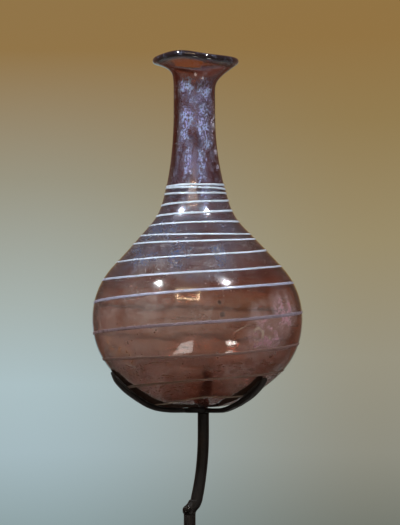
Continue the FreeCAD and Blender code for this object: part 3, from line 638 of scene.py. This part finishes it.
# ------------------------------------------------------------ material tools
class Nodes:
    """A short way to write a node tree."""

    def __init__(self, name, world=False):
        if world:
            self.owner = bpy.data.worlds.new(name)
        else:
            self.owner = bpy.data.materials.new(name)
        self.owner.use_nodes = True
        self.nt = self.owner.node_tree
        self.nt.nodes.clear()

    def add(self, kind, ins=None, **props):
        n = self.nt.nodes.new(kind)
        for k, v in props.items():
            setattr(n, k, v)
        for k, v in (ins or {}).items():
            sock = n.inputs[k]
            if isinstance(v, bpy.types.NodeSocket):
                self.nt.links.new(v, sock)
            else:
                sock.default_value = v
        return n

    def math(self, op, a, b=None, c=None, clamp=False):
        n = self.nt.nodes.new("ShaderNodeMath")
        n.operation = op
        n.use_clamp = clamp
        for i, v in enumerate((a, b, c)):
            if v is None:
                continue
            if isinstance(v, bpy.types.NodeSocket):
                self.nt.links.new(v, n.inputs[i])
            else:
                n.inputs[i].default_value = v
        return n.outputs[0]

    def vmath(self, op, a, b=None, scale=None):
        n = self.nt.nodes.new("ShaderNodeVectorMath")
        n.operation = op
        for i, v in enumerate((a, b)):
            if v is None:
                continue
            if isinstance(v, bpy.types.NodeSocket):
                self.nt.links.new(v, n.inputs[i])
            else:
                n.inputs[i].default_value = v
        if scale is not None:
            if isinstance(scale, bpy.types.NodeSocket):
                self.nt.links.new(scale, n.inputs["Scale"])
            else:
                n.inputs["Scale"].default_value = scale
        return n.outputs["Value"] if op in ("DISTANCE", "LENGTH", "DOT_PRODUCT") else n.outputs[0]

    def span(self, v, a, b, lo=0.0, hi=1.0, kind="SMOOTHSTEP"):
        n = self.add("ShaderNodeMapRange", {"Value": v, "From Min": a, "From Max": b, "To Min": lo, "To Max": hi})
        n.interpolation_type = kind
        return n.outputs["Result"]

    def mix(self, fac, a, b, blend="MIX"):
        n = self.nt.nodes.new("ShaderNodeMix")
        n.data_type = "RGBA"
        n.blend_type = blend
        for s, v in (("Factor_Float", fac), ("A_Color", a), ("B_Color", b)):
            sock = [x for x in n.inputs if x.identifier == s][0]
            if isinstance(v, bpy.types.NodeSocket):
                self.nt.links.new(v, sock)
            else:
                sock.default_value = v if s == "Factor_Float" else (*v, 1.0)[:4]
        return [x for x in n.outputs if x.identifier == "Result_Color"][0]

    def coords(self, scale=(1, 1, 1)):
        tc = self.nt.nodes.new("ShaderNodeTexCoord")
        if scale == (1, 1, 1):
            return tc.outputs["Object"]
        return self.vmath("MULTIPLY", tc.outputs["Object"], scale)

    def noise(self, scale, detail=4.0, rough=0.55, vec=None, distort=0.0, color=False):
        n = self.add(
            "ShaderNodeTexNoise",
            {"Vector": vec if vec is not None else self.coords(), "Scale": scale, "Detail": detail, "Roughness": rough, "Distortion": distort},
        )
        return n.outputs["Color"] if color else n.outputs["Fac"]

    def voronoi(self, scale, vec=None, feature="F1", random=1.0):
        n = self.add("ShaderNodeTexVoronoi", {"Vector": vec if vec is not None else self.coords(), "Scale": scale, "Randomness": random}, feature=feature)
        return n.outputs["Distance"]

    def ramp(self, fac, stops):
        n = self.nt.nodes.new("ShaderNodeValToRGB")
        e = n.color_ramp.elements
        while len(e) < len(stops):
            e.new(0.5)
        for el, (p, c) in zip(e, stops):
            el.position = p
            el.color = (*c, 1.0)[:4]
        self.nt.links.new(fac, n.inputs["Fac"])
        return n.outputs["Color"]

    def bump(self, height, strength, distance, normal=None):
        ins = {"Height": height, "Strength": strength, "Distance": distance}
        if normal is not None:
            ins["Normal"] = normal
        return self.add("ShaderNodeBump", ins).outputs["Normal"]

    def finish(self, shader, volume=None):
        out = self.nt.nodes.new("ShaderNodeOutputMaterial")
        self.nt.links.new(shader, out.inputs["Surface"])
        if volume is not None:
            self.nt.links.new(volume, out.inputs["Volume"])
        return self.owner


# ------------------------------------------------------------------ materials
def place_of(px, py, front=True):
    """Row position of a place on the bottle's outside, seen from the front."""
    x, z = (px - 200) * 0.44 + 4.54, 88.6 + (406 - py) * 0.44
    r, _ = outside(min(max(z - BZ, 1.0), 140.0))
    dx = x - BX - lean(z - BZ)
    y = -math.sqrt(max(r * r - dx * dx, 0.0)) * (1 if front else -1)
    return Vector((x * MM, y * MM, z * MM))


def spot(g, px, py, radius, soft=0.5, front=True):
    """Soft round mask at that place."""
    at = g.vmath("DISTANCE", g.coords(), tuple(place_of(px, py, front)))
    return g.span(at, radius * MM, radius * (1 - soft) * MM, 0.0, 1.0)


def front_spot(g, px, py, radius, soft=0.5):
    """Soft round mask on the front half, measured across and up only."""
    flat = g.vmath("MULTIPLY", g.coords(), (1.0, 0.0, 1.0))
    at = g.vmath("DISTANCE", flat, (((px - 200) * 0.44 + 4.54) * MM, 0.0, (88.6 + (406 - py) * 0.44) * MM))
    return g.span(at, radius * MM, radius * (1 - soft) * MM, 0.0, 1.0)


def front_line(g, places, half, soft=0.6):
    """Soft mask along a line of places on the front half, measured across and up only."""
    flat = g.vmath("MULTIPLY", g.coords(), (1.0, 0.0, 1.0))
    pts = [Vector((((px - 200) * 0.44 + 4.54) * MM, 0.0, (88.6 + (406 - py) * 0.44) * MM)) for px, py in places]
    least = None
    for a, b in zip(pts, pts[1:]):
        d = b - a
        rel = g.vmath("SUBTRACT", flat, tuple(a))
        t = g.math("MULTIPLY", g.vmath("DOT_PRODUCT", rel, tuple(d)), 1.0 / d.length_squared, clamp=True)
        off = g.vmath("LENGTH", g.vmath("SUBTRACT", rel, g.vmath("SCALE", tuple(d), scale=t)))
        least = off if least is None else g.math("MINIMUM", least, off)
    return g.span(least, half * MM, half * (1 - soft) * MM)


def stroke(g, a, b, half, soft=0.6, front=True):
    """Soft mask along a short straight scratch between two such places."""
    pa, pb = place_of(*a, front), place_of(*b, front)
    mid, d = (pa + pb) / 2, (pb - pa)
    long = d.length / 2
    d.normalize()
    rel = g.vmath("SUBTRACT", g.coords(), tuple(mid))
    u = g.vmath("DOT_PRODUCT", rel, tuple(d))
    foot = g.vmath("SCALE", tuple(d), scale=u)
    off = g.vmath("LENGTH", g.vmath("SUBTRACT", rel, foot))
    near = g.span(off, half * MM, half * (1 - soft) * MM)
    within = g.span(g.math("ABSOLUTE", u), long, long * 0.8)
    return g.math("MULTIPLY", near, within)


def most(g, *values):
    out = values[0]
    for v in values[1:]:
        out = g.math("MAXIMUM", out, v)
    return out


def times(g, *values):
    out = values[0]
    for v in values[1:]:
        out = g.math("MULTIPLY", out, v)
    return out


def purple_glass():
    g = Nodes("purple_glass")
    co = g.coords()
    inside = g.add("ShaderNodeAttribute", attribute_name="inside").outputs["Fac"]
    outer = g.math("SUBTRACT", 1.0, inside)
    xyz = g.add("ShaderNodeSeparateXYZ", {0: co})
    x, y, z = xyz.outputs["X"], xyz.outputs["Y"], xyz.outputs["Z"]
    neck = times(g, g.span(z, 0.160, 0.190), g.span(z, 0.2365, 0.2290))
    upper = times(g, g.span(z, 0.128, 0.160), g.span(z, 0.205, 0.186))
    lower = g.span(z, 0.135, 0.112)

    # weathering film: flecked clouds on the neck, a thin bluish haze on the shoulder, painted brighter round the
    # lamps' highlights as a painted glow
    bead = g.add("ShaderNodeAttribute", attribute_name="bead").outputs["Fac"]
    wide = g.noise(120.0, 4.0, 0.62, vec=g.coords((1, 1, 0.55)), distort=0.4)
    mid = g.noise(300.0, 4.0, 0.62, distort=0.6)
    fine = g.noise(800.0, 3.0, 0.6)
    grain = g.span(g.noise(1250.0, 4.0, 0.72, vec=g.coords((1, 1, 0.75))), 0.43, 0.58)
    flakes = g.math("ADD", g.math("MULTIPLY", wide, 0.58), g.math("MULTIPLY", mid, 0.42))
    cloud = g.span(flakes, 0.40, 0.57)
    haze = g.span(g.noise(45.0, 5.0, 0.65, vec=g.coords((1, 1, 0.8))), 0.30, 0.66)
    deep = g.math("ABSOLUTE", y)
    turn = g.span(x, 0.0005, 0.0040)  # film faded toward the neck's two sides, more on the left: painted shade at the neck's edges
    painted_side_shade = g.math("ADD", times(g, g.math("SUBTRACT", 1.0, turn), g.span(deep, 0.0052, 0.0076)), times(g, turn, g.span(deep, 0.0022, 0.0062)))
    # two bright vertical bands of film where the two lamps reflect in the neck: painted highlight
    painted_lamp_streaks = most(g, g.span(g.math("ABSOLUTE", g.math("ADD", x, 0.0012)), 0.0032, 0.0010), g.span(g.math("ABSOLUTE", g.math("SUBTRACT", x, 0.0059)), 0.0032, 0.0010))
    neck_film = times(g, neck, painted_side_shade, g.math("ADD", 0.44, times(g, painted_lamp_streaks, 0.56)), g.span(z, 0.206, 0.194, 1.0, 0.56), g.math("ADD", times(g, cloud, g.math("ADD", 0.22, times(g, grain, 0.78))), times(g, grain, 0.14)))
    # brighter film round the lamps' highlights on the shoulder and belly: painted glow
    lit = most(g, spot(g, 190, 270, 27.0, 0.9), spot(g, 132, 276, 24.0, 0.9), times(g, spot(g, 165, 235, 16.0, 0.9), 0.45), times(g, spot(g, 195, 228, 14.0, 0.9), 0.40), times(g, spot(g, 225, 232, 14.0, 0.9), 0.20))
    haze_and_glow = times(g, upper, haze, g.math("ADD", 0.42, times(g, lit, 0.58)), g.span(x, 0.012, 0.028, 1.0, 0.30))
    film = times(g, most(g, neck_film, haze_and_glow), outer)

    # specks and small flakes
    seeds = g.span(g.voronoi(760.0), 0.24, 0.08)
    tiny = g.span(g.voronoi(1500.0), 0.26, 0.10)
    strewn = g.span(g.noise(95.0, 2.0), 0.42, 0.58)
    dots = times(g, g.span(g.voronoi(1050.0), 0.32, 0.12), g.span(g.noise(50.0, 3.0), 0.45, 0.60))
    specks = times(g, most(g, times(g, seeds, strewn), times(g, dots, 0.9), times(g, tiny, g.span(g.noise(60.0, 3.0), 0.42, 0.62), 0.8)), g.span(z, 0.104, 0.165, 0.15, 1.0), g.span(z, 0.236, 0.228), outer)
    edge = most(g, spot(g, 213, 108, 3.0, 0.8), spot(g, 213, 122, 4.5, 0.8), spot(g, 214, 136, 4.0, 0.8), times(g, spot(g, 216, 152, 3.5, 0.8), 0.8), times(g, spot(g, 217, 166, 3.5, 0.8), 0.8))
    edge = times(g, edge, g.span(mid, 0.46, 0.56), g.span(g.noise(900.0, 3.0, 0.7), 0.38, 0.56, 0.3, 1.0), outer)
    chips = times(g, g.span(z, 0.1430, 0.1475), g.span(z, 0.1550, 0.1515), g.span(x, -0.030, -0.018), g.span(x, 0.018, 0.008), g.span(y, -0.010, -0.020))
    chips = times(g, chips, g.span(g.noise(1500.0, 3.0, 0.70), 0.50, 0.62), g.span(wide, 0.36, 0.56, 0.25, 1.0), outer)
    bright = most(g, times(g, specks, 0.8), edge, times(g, chips, 0.45))

    # iridescent patches low on the right
    pink = most(g, times(g, spot(g, 284, 313, 14.0, 0.8), 0.85), spot(g, 272, 333, 12.0, 0.8), times(g, spot(g, 256, 343, 11.0, 0.9), 0.7), times(g, spot(g, 262, 318, 10.0, 0.9), 0.6))
    scaly = times(g, g.span(g.noise(210.0, 5.0, 0.66), 0.40, 0.58), g.span(g.noise(900.0, 4.0, 0.70), 0.40, 0.60, 0.35, 1.0))
    pink = times(g, pink, g.math("ADD", 0.14, times(g, scaly, 0.86)), outer)
    ring_d = g.vmath("DISTANCE", g.coords(), tuple(place_of(257, 334)))
    ring = times(g, g.span(ring_d, 0.0036, 0.0028), g.span(ring_d, 0.0012, 0.0024))
    ring = times(g, most(g, ring, spot(g, 269, 336, 1.8, 0.6)), g.span(mid, 0.38, 0.58), outer)
    scratch = times(g, most(g, stroke(g, (232, 333), (248, 324), 0.22), stroke(g, (226, 326), (238, 334), 0.16), stroke(g, (100.5, 321), (104, 329), 0.30)), outer)

    # pale dust on the left of the belly, amber sand low on the left
    dust = most(g, spot(g, 150, 312, 26.0, 0.9), times(g, spot(g, 108, 318, 22.0, 0.9), 0.8), times(g, spot(g, 200, 318, 20.0, 0.9), 0.5))
    dust = times(g, dust, g.math("ADD", 0.25, times(g, g.span(g.noise(700.0, 5.0, 0.75), 0.42, 0.60), 0.75)), g.span(g.noise(70.0, 5.0, 0.66), 0.34, 0.60, 0.25, 1.0), outer)
    sandy = g.span(g.noise(520.0, 5.0, 0.72), 0.40, 0.60)
    sand = most(g, spot(g, 128, 356, 20.0, 0.9), spot(g, 112, 342, 14.0, 0.9), front_spot(g, 132, 378, 13.0, 0.9), times(g, front_spot(g, 166, 382, 13.0, 0.9), 0.8), times(g, front_spot(g, 236, 384, 12.0, 0.9), 0.6))
    sand = times(g, sand, g.math("ADD", 0.40, times(g, sandy, 0.60)), g.span(g.noise(110.0, 5.0, 0.66), 0.34, 0.60, 0.30, 1.0), outer)

    # brown soil on the inner wall and dark grains in the glass
    soil_n = g.noise(120.0, 6.0, 0.66, vec=g.coords((0.8, 0.8, 1.5)), distort=0.8)
    soil = times(g, inside, g.span(z, 0.134, 0.098, 0.12, 1.0), g.span(z, 0.150, 0.134), g.span(soil_n, 0.46, 0.74), 0.85)
    streak = g.span(g.noise(150.0, 6.0, 0.70, vec=g.coords((0.35, 0.35, 2.4)), distort=0.5), 0.52, 0.66)
    fleck = times(g, g.span(g.voronoi(560.0), 0.30, 0.10), g.span(g.noise(80.0, 3.0), 0.46, 0.60))
    soil = most(g, soil, times(g, inside, most(g, times(g, streak, 0.45), times(g, fleck, 0.75)), g.span(z, 0.168, 0.140)))
    grains = most(g, spot(g, 222, 315, 1.5, 0.5), spot(g, 219, 303, 1.2, 0.5), spot(g, 152, 391, 0.9, 0.4), spot(g, 167, 384, 0.8, 0.4), spot(g, 246, 300, 0.8, 0.5))
    grains = times(g, grains, g.span(fine, 0.36, 0.54), outer)

    # painted shade on the glass along the two front arms' linings, standing in for the dark arms seen through and
    # against the glass
    by_left = front_line(g, ((113.5, 373), (121, 379.5), (133, 388), (145, 395), (155, 401.5), (164, 404.5), (180, 406), (195, 407)), 3.4, 0.9)
    by_right = front_line(g, ((259, 377), (252, 384.5), (240, 393), (230, 399), (222, 402.5)), 2.5, 0.9)
    by_left = times(g, by_left, g.span(y, -0.0030, -0.0065), g.span(y, -0.0200, -0.0150))
    by_right = times(g, by_right, g.span(y, -0.0100, -0.0140), g.span(y, -0.0330, -0.0280))
    torn = g.math("MULTIPLY", g.math("SUBTRACT", g.noise(420.0, 4.0, 0.65), 0.5), 1.2)
    painted_arm_shade = times(g, g.span(g.math("ADD", most(g, by_left, by_right), torn), 0.32, 0.76), outer)

    # smooth, glossy film at the foot of the neck
    gloss = times(g, g.span(z, 0.163, 0.170), g.span(z, 0.194, 0.184), g.math("ADD", 0.30, times(g, grain, 0.70)), outer)
    shine = most(g, times(g, film, g.math("ADD", 0.04, times(g, neck, 0.14))), times(g, gloss, 0.09))
    on_neck = times(g, neck_film, outer, 0.90)
    on_shoulder = times(g, haze_and_glow, outer, g.math("ADD", 0.07, times(g, grain, 0.22)))
    cover = most(g, on_neck, on_shoulder, times(g, bright, 0.72), times(g, pink, 0.78), times(g, ring, 0.45), times(g, scratch, 0.6), times(g, dust, 0.27), times(g, sand, 0.40), times(g, soil, 0.42), times(g, grains, 0.50), times(g, painted_arm_shade, 0.86))
    cover = most(g, cover, times(g, bead, 0.86))
    colour = g.mix(g.span(mid, 0.35, 0.68), (0.54, 0.57, 0.90), (0.58, 0.84, 1.0))
    colour = g.mix(g.span(z, 0.176, 0.164), colour, (0.12, 0.38, 1.0))
    colour = g.mix(g.span(dust, 0.0, 0.10), colour, (0.80, 0.64, 0.54))
    colour = g.mix(g.span(sand, 0.0, 0.10), colour, (0.76, 0.31, 0.08))
    colour = g.mix(g.span(pink, 0.0, 0.12), colour, (0.78, 0.45, 0.56))
    colour = g.mix(g.span(soil, 0.0, 0.20), colour, (0.30, 0.145, 0.060))
    colour = g.mix(g.span(most(g, ring, scratch), 0.0, 0.30), colour, (0.80, 0.68, 0.58))
    colour = g.mix(g.span(bright, 0.0, 0.30), colour, (0.84, 0.87, 0.94))
    colour = g.mix(g.span(grains, 0.0, 0.20), colour, (0.05, 0.022, 0.016))
    # painted shade along the front arms' linings
    colour = g.mix(g.span(painted_arm_shade, 0.0, 0.20), colour, (0.040, 0.021, 0.014))
    lip_film = times(g, bead, g.span(mid, 0.52, 0.66), g.math("ADD", 0.30, times(g, grain, 0.70)))
    colour = g.mix(bead, colour, (0.018, 0.011, 0.016))
    colour = g.mix(times(g, lip_film, 0.28), colour, (0.30, 0.36, 0.52))
    depth = g.math("ADD", g.math("ADD", cover, shine), times(g, on_shoulder, 1.2))
    tint = g.mix(g.span(depth, 0.0, 0.45, 0.0, 1.0, "LINEAR"), (1.0, 1.0, 1.0), colour)
    # bluish veil on the neck's front, faded at its sides with the painted side shade
    veil = g.mix(times(g, neck, painted_side_shade, outer, 0.50), (1.0, 1.0, 1.0), (0.62, 0.52, 1.0))
    tint = g.vmath("MULTIPLY", tint, veil)
    clear = g.math("SUBTRACT", 1.0, cover)

    rough_out = most(g, g.math("ADD", 0.05, times(g, film, 0.46)), times(g, gloss, 0.12))
    rough_in = g.math("ADD", 0.12, times(g, soil, 0.40))
    rough_out = most(g, rough_out, times(g, painted_arm_shade, 0.70))
    wet = g.math("SUBTRACT", 1.0, painted_arm_shade)
    rough = g.math("ADD", times(g, inside, rough_in), times(g, outer, rough_out))
    normal = g.bump(g.noise(420.0, 4.0, 0.6, vec=g.coords((1, 1, 1.8))), 0.05, 0.0006, g.bump(flakes, times(g, film, 0.20), 0.0010))
    bsdf = g.add(
        "ShaderNodeBsdfPrincipled",
        {"Base Color": tint, "Transmission Weight": clear, "Roughness": rough, "IOR": 1.5, "Normal": normal, "Metallic": shine,
         "Specular IOR Level": times(g, wet, 0.5), "Coat Weight": most(g, times(g, outer, wet, 0.30), bead), "Coat Roughness": 0.03, "Coat IOR": 1.45},
    )
    vol = g.add("ShaderNodeVolumeAbsorption", {"Color": (0.65, 0.19, 0.02, 1.0), "Density": 690.0})
    return g.finish(bsdf.outputs[0], vol.outputs[0])


def white_glass():
    g = Nodes("white_glass")
    co = g.coords()
    z = g.add("ShaderNodeSeparateXYZ", {0: co}).outputs["Z"]
    k = g.span(z, 0.088, 0.188, 0.0, 1.0, "LINEAR")
    base = g.ramp(
        k,
        [
            (0.0, (0.50, 0.38, 0.27)),
            (0.14, (0.38, 0.25, 0.20)),
            (0.26, (0.36, 0.22, 0.20)),
            (0.37, (0.25, 0.195, 0.235)),
            (0.52, (0.38, 0.42, 0.58)),
            (0.66, (0.54, 0.64, 0.77)),
            (1.0, (0.55, 0.66, 0.78)),
        ],
    )
    mottle = g.noise(300.0, 5.0, 0.6)
    low = times(g, g.span(k, 0.66, 0.46, 0.10, 0.40), g.span(k, 0.24, 0.36, 0.10, 1.0))
    base = g.mix(times(g, g.span(mottle, 0.40, 0.70), low), base, (0.20, 0.14, 0.15))
    rough = g.span(g.noise(500.0, 3.0), 0.3, 0.7, 0.20, 0.40)
    normal = g.bump(g.noise(900.0, 4.0), g.span(k, 0.20, 0.36, 0.02, 0.15), 0.0004)
    rough = g.math("ADD", rough, g.span(k, 0.36, 0.20, 0.0, 0.22))
    through = g.span(k, 0.42, 0.22, 0.0, 0.42)
    bsdf = g.add("ShaderNodeBsdfPrincipled", {"Base Color": base, "Roughness": rough, "IOR": 1.5, "Normal": normal, "Transmission Weight": through})
    return g.finish(bsdf.outputs[0])


def dark_metal():
    g = Nodes("stand_metal")
    blotch = g.noise(120.0, 6.0, 0.65)
    fine = g.noise(1500.0, 4.0, 0.6)
    base = g.ramp(blotch, [(0.30, (0.007, 0.0055, 0.005)), (0.55, (0.012, 0.009, 0.0075)), (0.78, (0.034, 0.021, 0.014))])
    rough = g.span(blotch, 0.3, 0.75, 0.40, 0.60)
    normal = g.bump(fine, 0.18, 0.0002, g.bump(blotch, 0.25, 0.0006))
    bsdf = g.add("ShaderNodeBsdfPrincipled", {"Base Color": base, "Metallic": 0.40, "Roughness": rough, "Normal": normal})
    return g.finish(bsdf.outputs[0])


def dark_steel():
    g = Nodes("dark_steel")
    n = g.noise(700.0, 5.0, 0.6)
    base = g.ramp(n, [(0.3, (0.015, 0.014, 0.013)), (0.8, (0.07, 0.06, 0.05))])
    rough = g.span(n, 0.3, 0.7, 0.28, 0.48)
    bsdf = g.add("ShaderNodeBsdfPrincipled", {"Base Color": base, "Metallic": 0.9, "Roughness": rough, "Normal": g.bump(n, 0.1, 0.0002)})
    return g.finish(bsdf.outputs[0])


def suede():
    g = Nodes("suede")
    n = g.noise(2600.0, 4.0, 0.7)
    m = g.noise(350.0, 3.0, 0.5)
    base = g.mix(n, (0.030, 0.020, 0.016), (0.075, 0.052, 0.040))
    base = g.mix(g.span(m, 0.4, 0.7, 0.0, 0.5), base, (0.026, 0.018, 0.014))
    bsdf = g.add(
        "ShaderNodeBsdfPrincipled",
        {"Base Color": base, "Roughness": 0.9, "Sheen Weight": 0.35, "Normal": g.bump(n, 0.5, 0.0004)},
    )
    return g.finish(bsdf.outputs[0])


def felt():
    g = Nodes("felt")
    n = g.noise(1800.0, 6.0, 0.75, distort=1.5)
    base = g.mix(n, (0.012, 0.012, 0.013), (0.045, 0.045, 0.048))
    bsdf = g.add(
        "ShaderNodeBsdfPrincipled",
        {"Base Color": base, "Roughness": 0.95, "Sheen Weight": 0.3, "Normal": g.bump(n, 0.6, 0.0005)},
    )
    return g.finish(bsdf.outputs[0])


GLASS, WHITE, METAL, STEEL, SUEDE, FELT = purple_glass(), white_glass(), dark_metal(), dark_steel(), suede(), felt()


def dress(ob, material):
    ob.data.materials.clear()
    ob.data.materials.append(material)


# ------------------------------------------------------------------ the pieces
vessel = make_vessel()
dress(vessel, GLASS)
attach(vessel, "bottle")
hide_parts("glass_vessel")

thread = make_thread()
dress(thread, WHITE)
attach(thread, "bottle")
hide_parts("glass_thread")

for side, start in (("left", 3.6), ("right", 24.0), ("back", 28.0)):
    arm = make_arm(side)
    dress(arm, METAL)
    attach(arm, "cradle")
    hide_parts("arm_" + side)
    lining = make_pad(side, start)
    dress(lining, SUEDE)
    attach(lining, "cradle")
    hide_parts("pad_" + side)

for ob, node, material, slot in (
    (make_stem(), "stem", METAL, "stand_metal"),
    (make_knuckle(), "socket", METAL, "stand_metal"),
    (make_hub_pad(), "hub_pad", SUEDE, "suede"),
):
    dress(ob, material)
    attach(ob, "cradle")
    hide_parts(node)

under_felt = make_felt()
dress(under_felt, FELT)
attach(under_felt, "stand")
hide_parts("base_felt")

for names, material in (
    (("hub", "post", "base_plate"), METAL),
    (("clamp_screw", "fixing_screw"), STEEL),
):
    for n in names:
        slots = NODES[n].material_slots
        for s in slots:
            s.material = material
        if not slots:
            NODES[n].data.materials.append(material)

# --------------------------------------------------------------- floor, light
segs = 96
R = 440.0
verts = [(0, 0, -0.15)] + [(R * math.cos(2 * math.pi * k / segs), R * math.sin(2 * math.pi * k / segs), -0.15) for k in range(segs)]
floor = new_mesh("floor", verts, [(0, 1 + k, 1 + (k + 1) % segs) for k in range(segs)], smooth=False)
g = Nodes("floor")
fleck = g.noise(40.0, 4.0, 0.5)
col = g.mix(fleck, (0.30, 0.29, 0.275), (0.34, 0.33, 0.315))
dress(floor, g.finish(g.add("ShaderNodeBsdfPrincipled", {"Base Color": col, "Roughness": 0.8}).outputs[0]))

CENTRE = Vector((BX * MM, 0, 0.128))


AIM = Vector((BX * MM, 0, 0.190))
BEAM = math.radians(9.0)


def lamp(name, direction, dist, size, power, colour, size_y=None):
    li = bpy.data.lights.new(name, "AREA")
    li.spread = 2 * BEAM
    li.shape = "DISK" if size_y is None else "RECTANGLE"
    li.size = size
    if size_y is not None:
        li.size_y = size_y
    li.energy = power * (1 - BEAM / math.tan(BEAM))  # power of an open lamp as bright along its axis
    li.color = colour
    ob = bpy.data.objects.new(name, li)
    scene.collection.objects.link(ob)
    d = Vector(direction).normalized()
    ob.location = CENTRE + d * dist
    ob.rotation_mode = "QUATERNION"
    ob.rotation_quaternion = (ob.location - AIM).to_track_quat("Z", "Y")
    ob.visible_camera = False
    return ob


lamp("lamp_left", (-0.554, -0.366, 0.745), 1.8, 0.115, 34.0, (0.86, 0.93, 1.0))
lamp("lamp_right", (0.455, -0.436, 0.775), 1.8, 0.10, 25.0, (0.90, 0.95, 1.0))

# a window-like frame of thin warm tubes in front, seen only as a small reflection
FRAME_AT = Vector((-0.146, -0.785, 0.602)).normalized()
right_of = Vector((0, 0, 1)).cross(-FRAME_AT).normalized() * -1
up_of = FRAME_AT.cross(right_of).normalized()
if up_of.z < 0:
    up_of = -up_of
for name, u, v, su, sv in (
    ("frame_top", 0.0, 0.135, 0.45, 0.022),
    ("frame_bottom", 0.0, -0.135, 0.45, 0.022),
    ("frame_left", -0.22, 0.0, 0.022, 0.27),
    ("frame_right", 0.22, 0.0, 0.022, 0.27),
):
    li = bpy.data.lights.new(name, "AREA")
    li.shape = "RECTANGLE"
    li.size, li.size_y = su, sv
    li.energy = 26.0 * su * sv * math.pi
    li.color = (1.0, 0.74, 0.46)
    ob = bpy.data.objects.new(name, li)
    scene.collection.objects.link(ob)
    ob.rotation_mode = "QUATERNION"
    ob.rotation_quaternion = Matrix((right_of, up_of, FRAME_AT)).transposed().to_quaternion()
    ob.location = CENTRE + FRAME_AT * 1.2 + right_of * u + up_of * v
    ob.visible_camera = False



def mirrored(px, py, height=0.002):
    """The place low in front that is seen mirrored there in the bottle's outside."""
    at = place_of(px, py)
    _, (nr, nz) = outside(at.z / MM - BZ)
    flat = Vector((at.x - BX * MM, at.y, 0)).normalized()
    n = Vector((flat.x * nr, flat.y * nr, nz))
    v = (cam.location - at).normalized()
    out = n * (2 * n.dot(v)) - v
    return at + out * ((height - at.z) / out.z)


# small patches of light low in front, seen only as reflections in the belly
for name, bright, corners in (
    ("glint_upper", 14.0, ((226.5, 345), (226.5, 340.8), (234.5, 340.3), (234.5, 344.5))),
    ("glint_lower", 9.0, ((225, 352.8), (225, 350.8), (233, 350.3), (233, 352.3))),
):
    a, b, c, d = (mirrored(*q) for q in corners)
    across, along = (c + d - a - b) / 2, (b + c - a - d) / 2
    li = bpy.data.lights.new(name, "AREA")
    li.shape = "RECTANGLE"
    li.size, li.size_y = across.length, along.length
    li.energy = bright * li.size * li.size_y * math.pi
    li.color = (1.0, 0.97, 0.93)
    ob = bpy.data.objects.new(name, li)
    scene.collection.objects.link(ob)
    ax = Vector((across.x, across.y, 0)).normalized()
    az = Vector((0, 0, -1))
    ob.rotation_mode = "QUATERNION"
    ob.rotation_quaternion = Matrix((ax, az.cross(ax), az)).transposed().to_quaternion()
    ob.location = (a + b + c + d) / 4
    ob.visible_camera = False

ends = [mirrored(*q) / MM for q in ((175.5, 354), (182.3, 343.1), (194.1, 339.9), (193.2, 351.1))]
if (ends[1] - ends[0]).cross(ends[2] - ends[0]).z < 0:
    ends.reverse()
patch = new_mesh("glint_wide", [tuple(q) for q in ends], [(0, 1, 2, 3)], smooth=False)
g = Nodes("glint_wide")
pale = g.mix(g.noise(60.0, 3.0), (1.0, 0.97, 0.93), (0.93, 0.90, 0.86))
upward = g.math("SUBTRACT", 1.0, g.nt.nodes.new("ShaderNodeNewGeometry").outputs["Backfacing"])  # lights the bottle, not the floor
dress(patch, g.finish(g.add("ShaderNodeEmission", {"Color": pale, "Strength": times(g, upward, 5.0)}).outputs[0]))
patch.visible_camera = patch.visible_shadow = patch.visible_diffuse = False

g = Nodes("studio", world=True)
tc = g.nt.nodes.new("ShaderNodeTexCoord")
sep = g.add("ShaderNodeSeparateXYZ", {0: tc.outputs["Generated"]})
elev = g.span(sep.outputs["Z"], -0.10, 0.10, 0.0, 1.0, "LINEAR")
left = g.ramp(elev, [(0.20, (0.275, 0.36, 0.375)), (0.31, (0.38, 0.485, 0.52)), (0.41, (0.415, 0.525, 0.55)), (0.53, (0.385, 0.44, 0.415)), (0.71, (0.315, 0.295, 0.22)), (0.90, (0.285, 0.178, 0.066))])
right = g.ramp(elev, [(0.20, (0.18, 0.19, 0.16)), (0.31, (0.27, 0.265, 0.215)), (0.45, (0.313, 0.29, 0.215)), (0.62, (0.32, 0.262, 0.148)), (0.80, (0.288, 0.20, 0.083)), (0.92, (0.285, 0.172, 0.058))])
side = g.span(sep.outputs["X"], -0.055, 0.055)
# the wall behind the bottle is lit, the room beside and in front of it is dim
near = g.span(sep.outputs["Y"], 0.93, 0.985)
away = g.mix(g.span(sep.outputs["Y"], 0.0, 0.55), (0.115, 0.092, 0.078), (0.160, 0.088, 0.062))
sky = g.mix(near, away, g.mix(side, left, right))
bg = g.add("ShaderNodeBackground", {"Color": sky, "Strength": 1.0})
wo = g.nt.nodes.new("ShaderNodeOutputWorld")
g.nt.links.new(bg.outputs[0], wo.inputs["Surface"])
scene.world = g.owner

scene.view_settings.view_transform = "Standard"
scene.view_settings.look = "None"
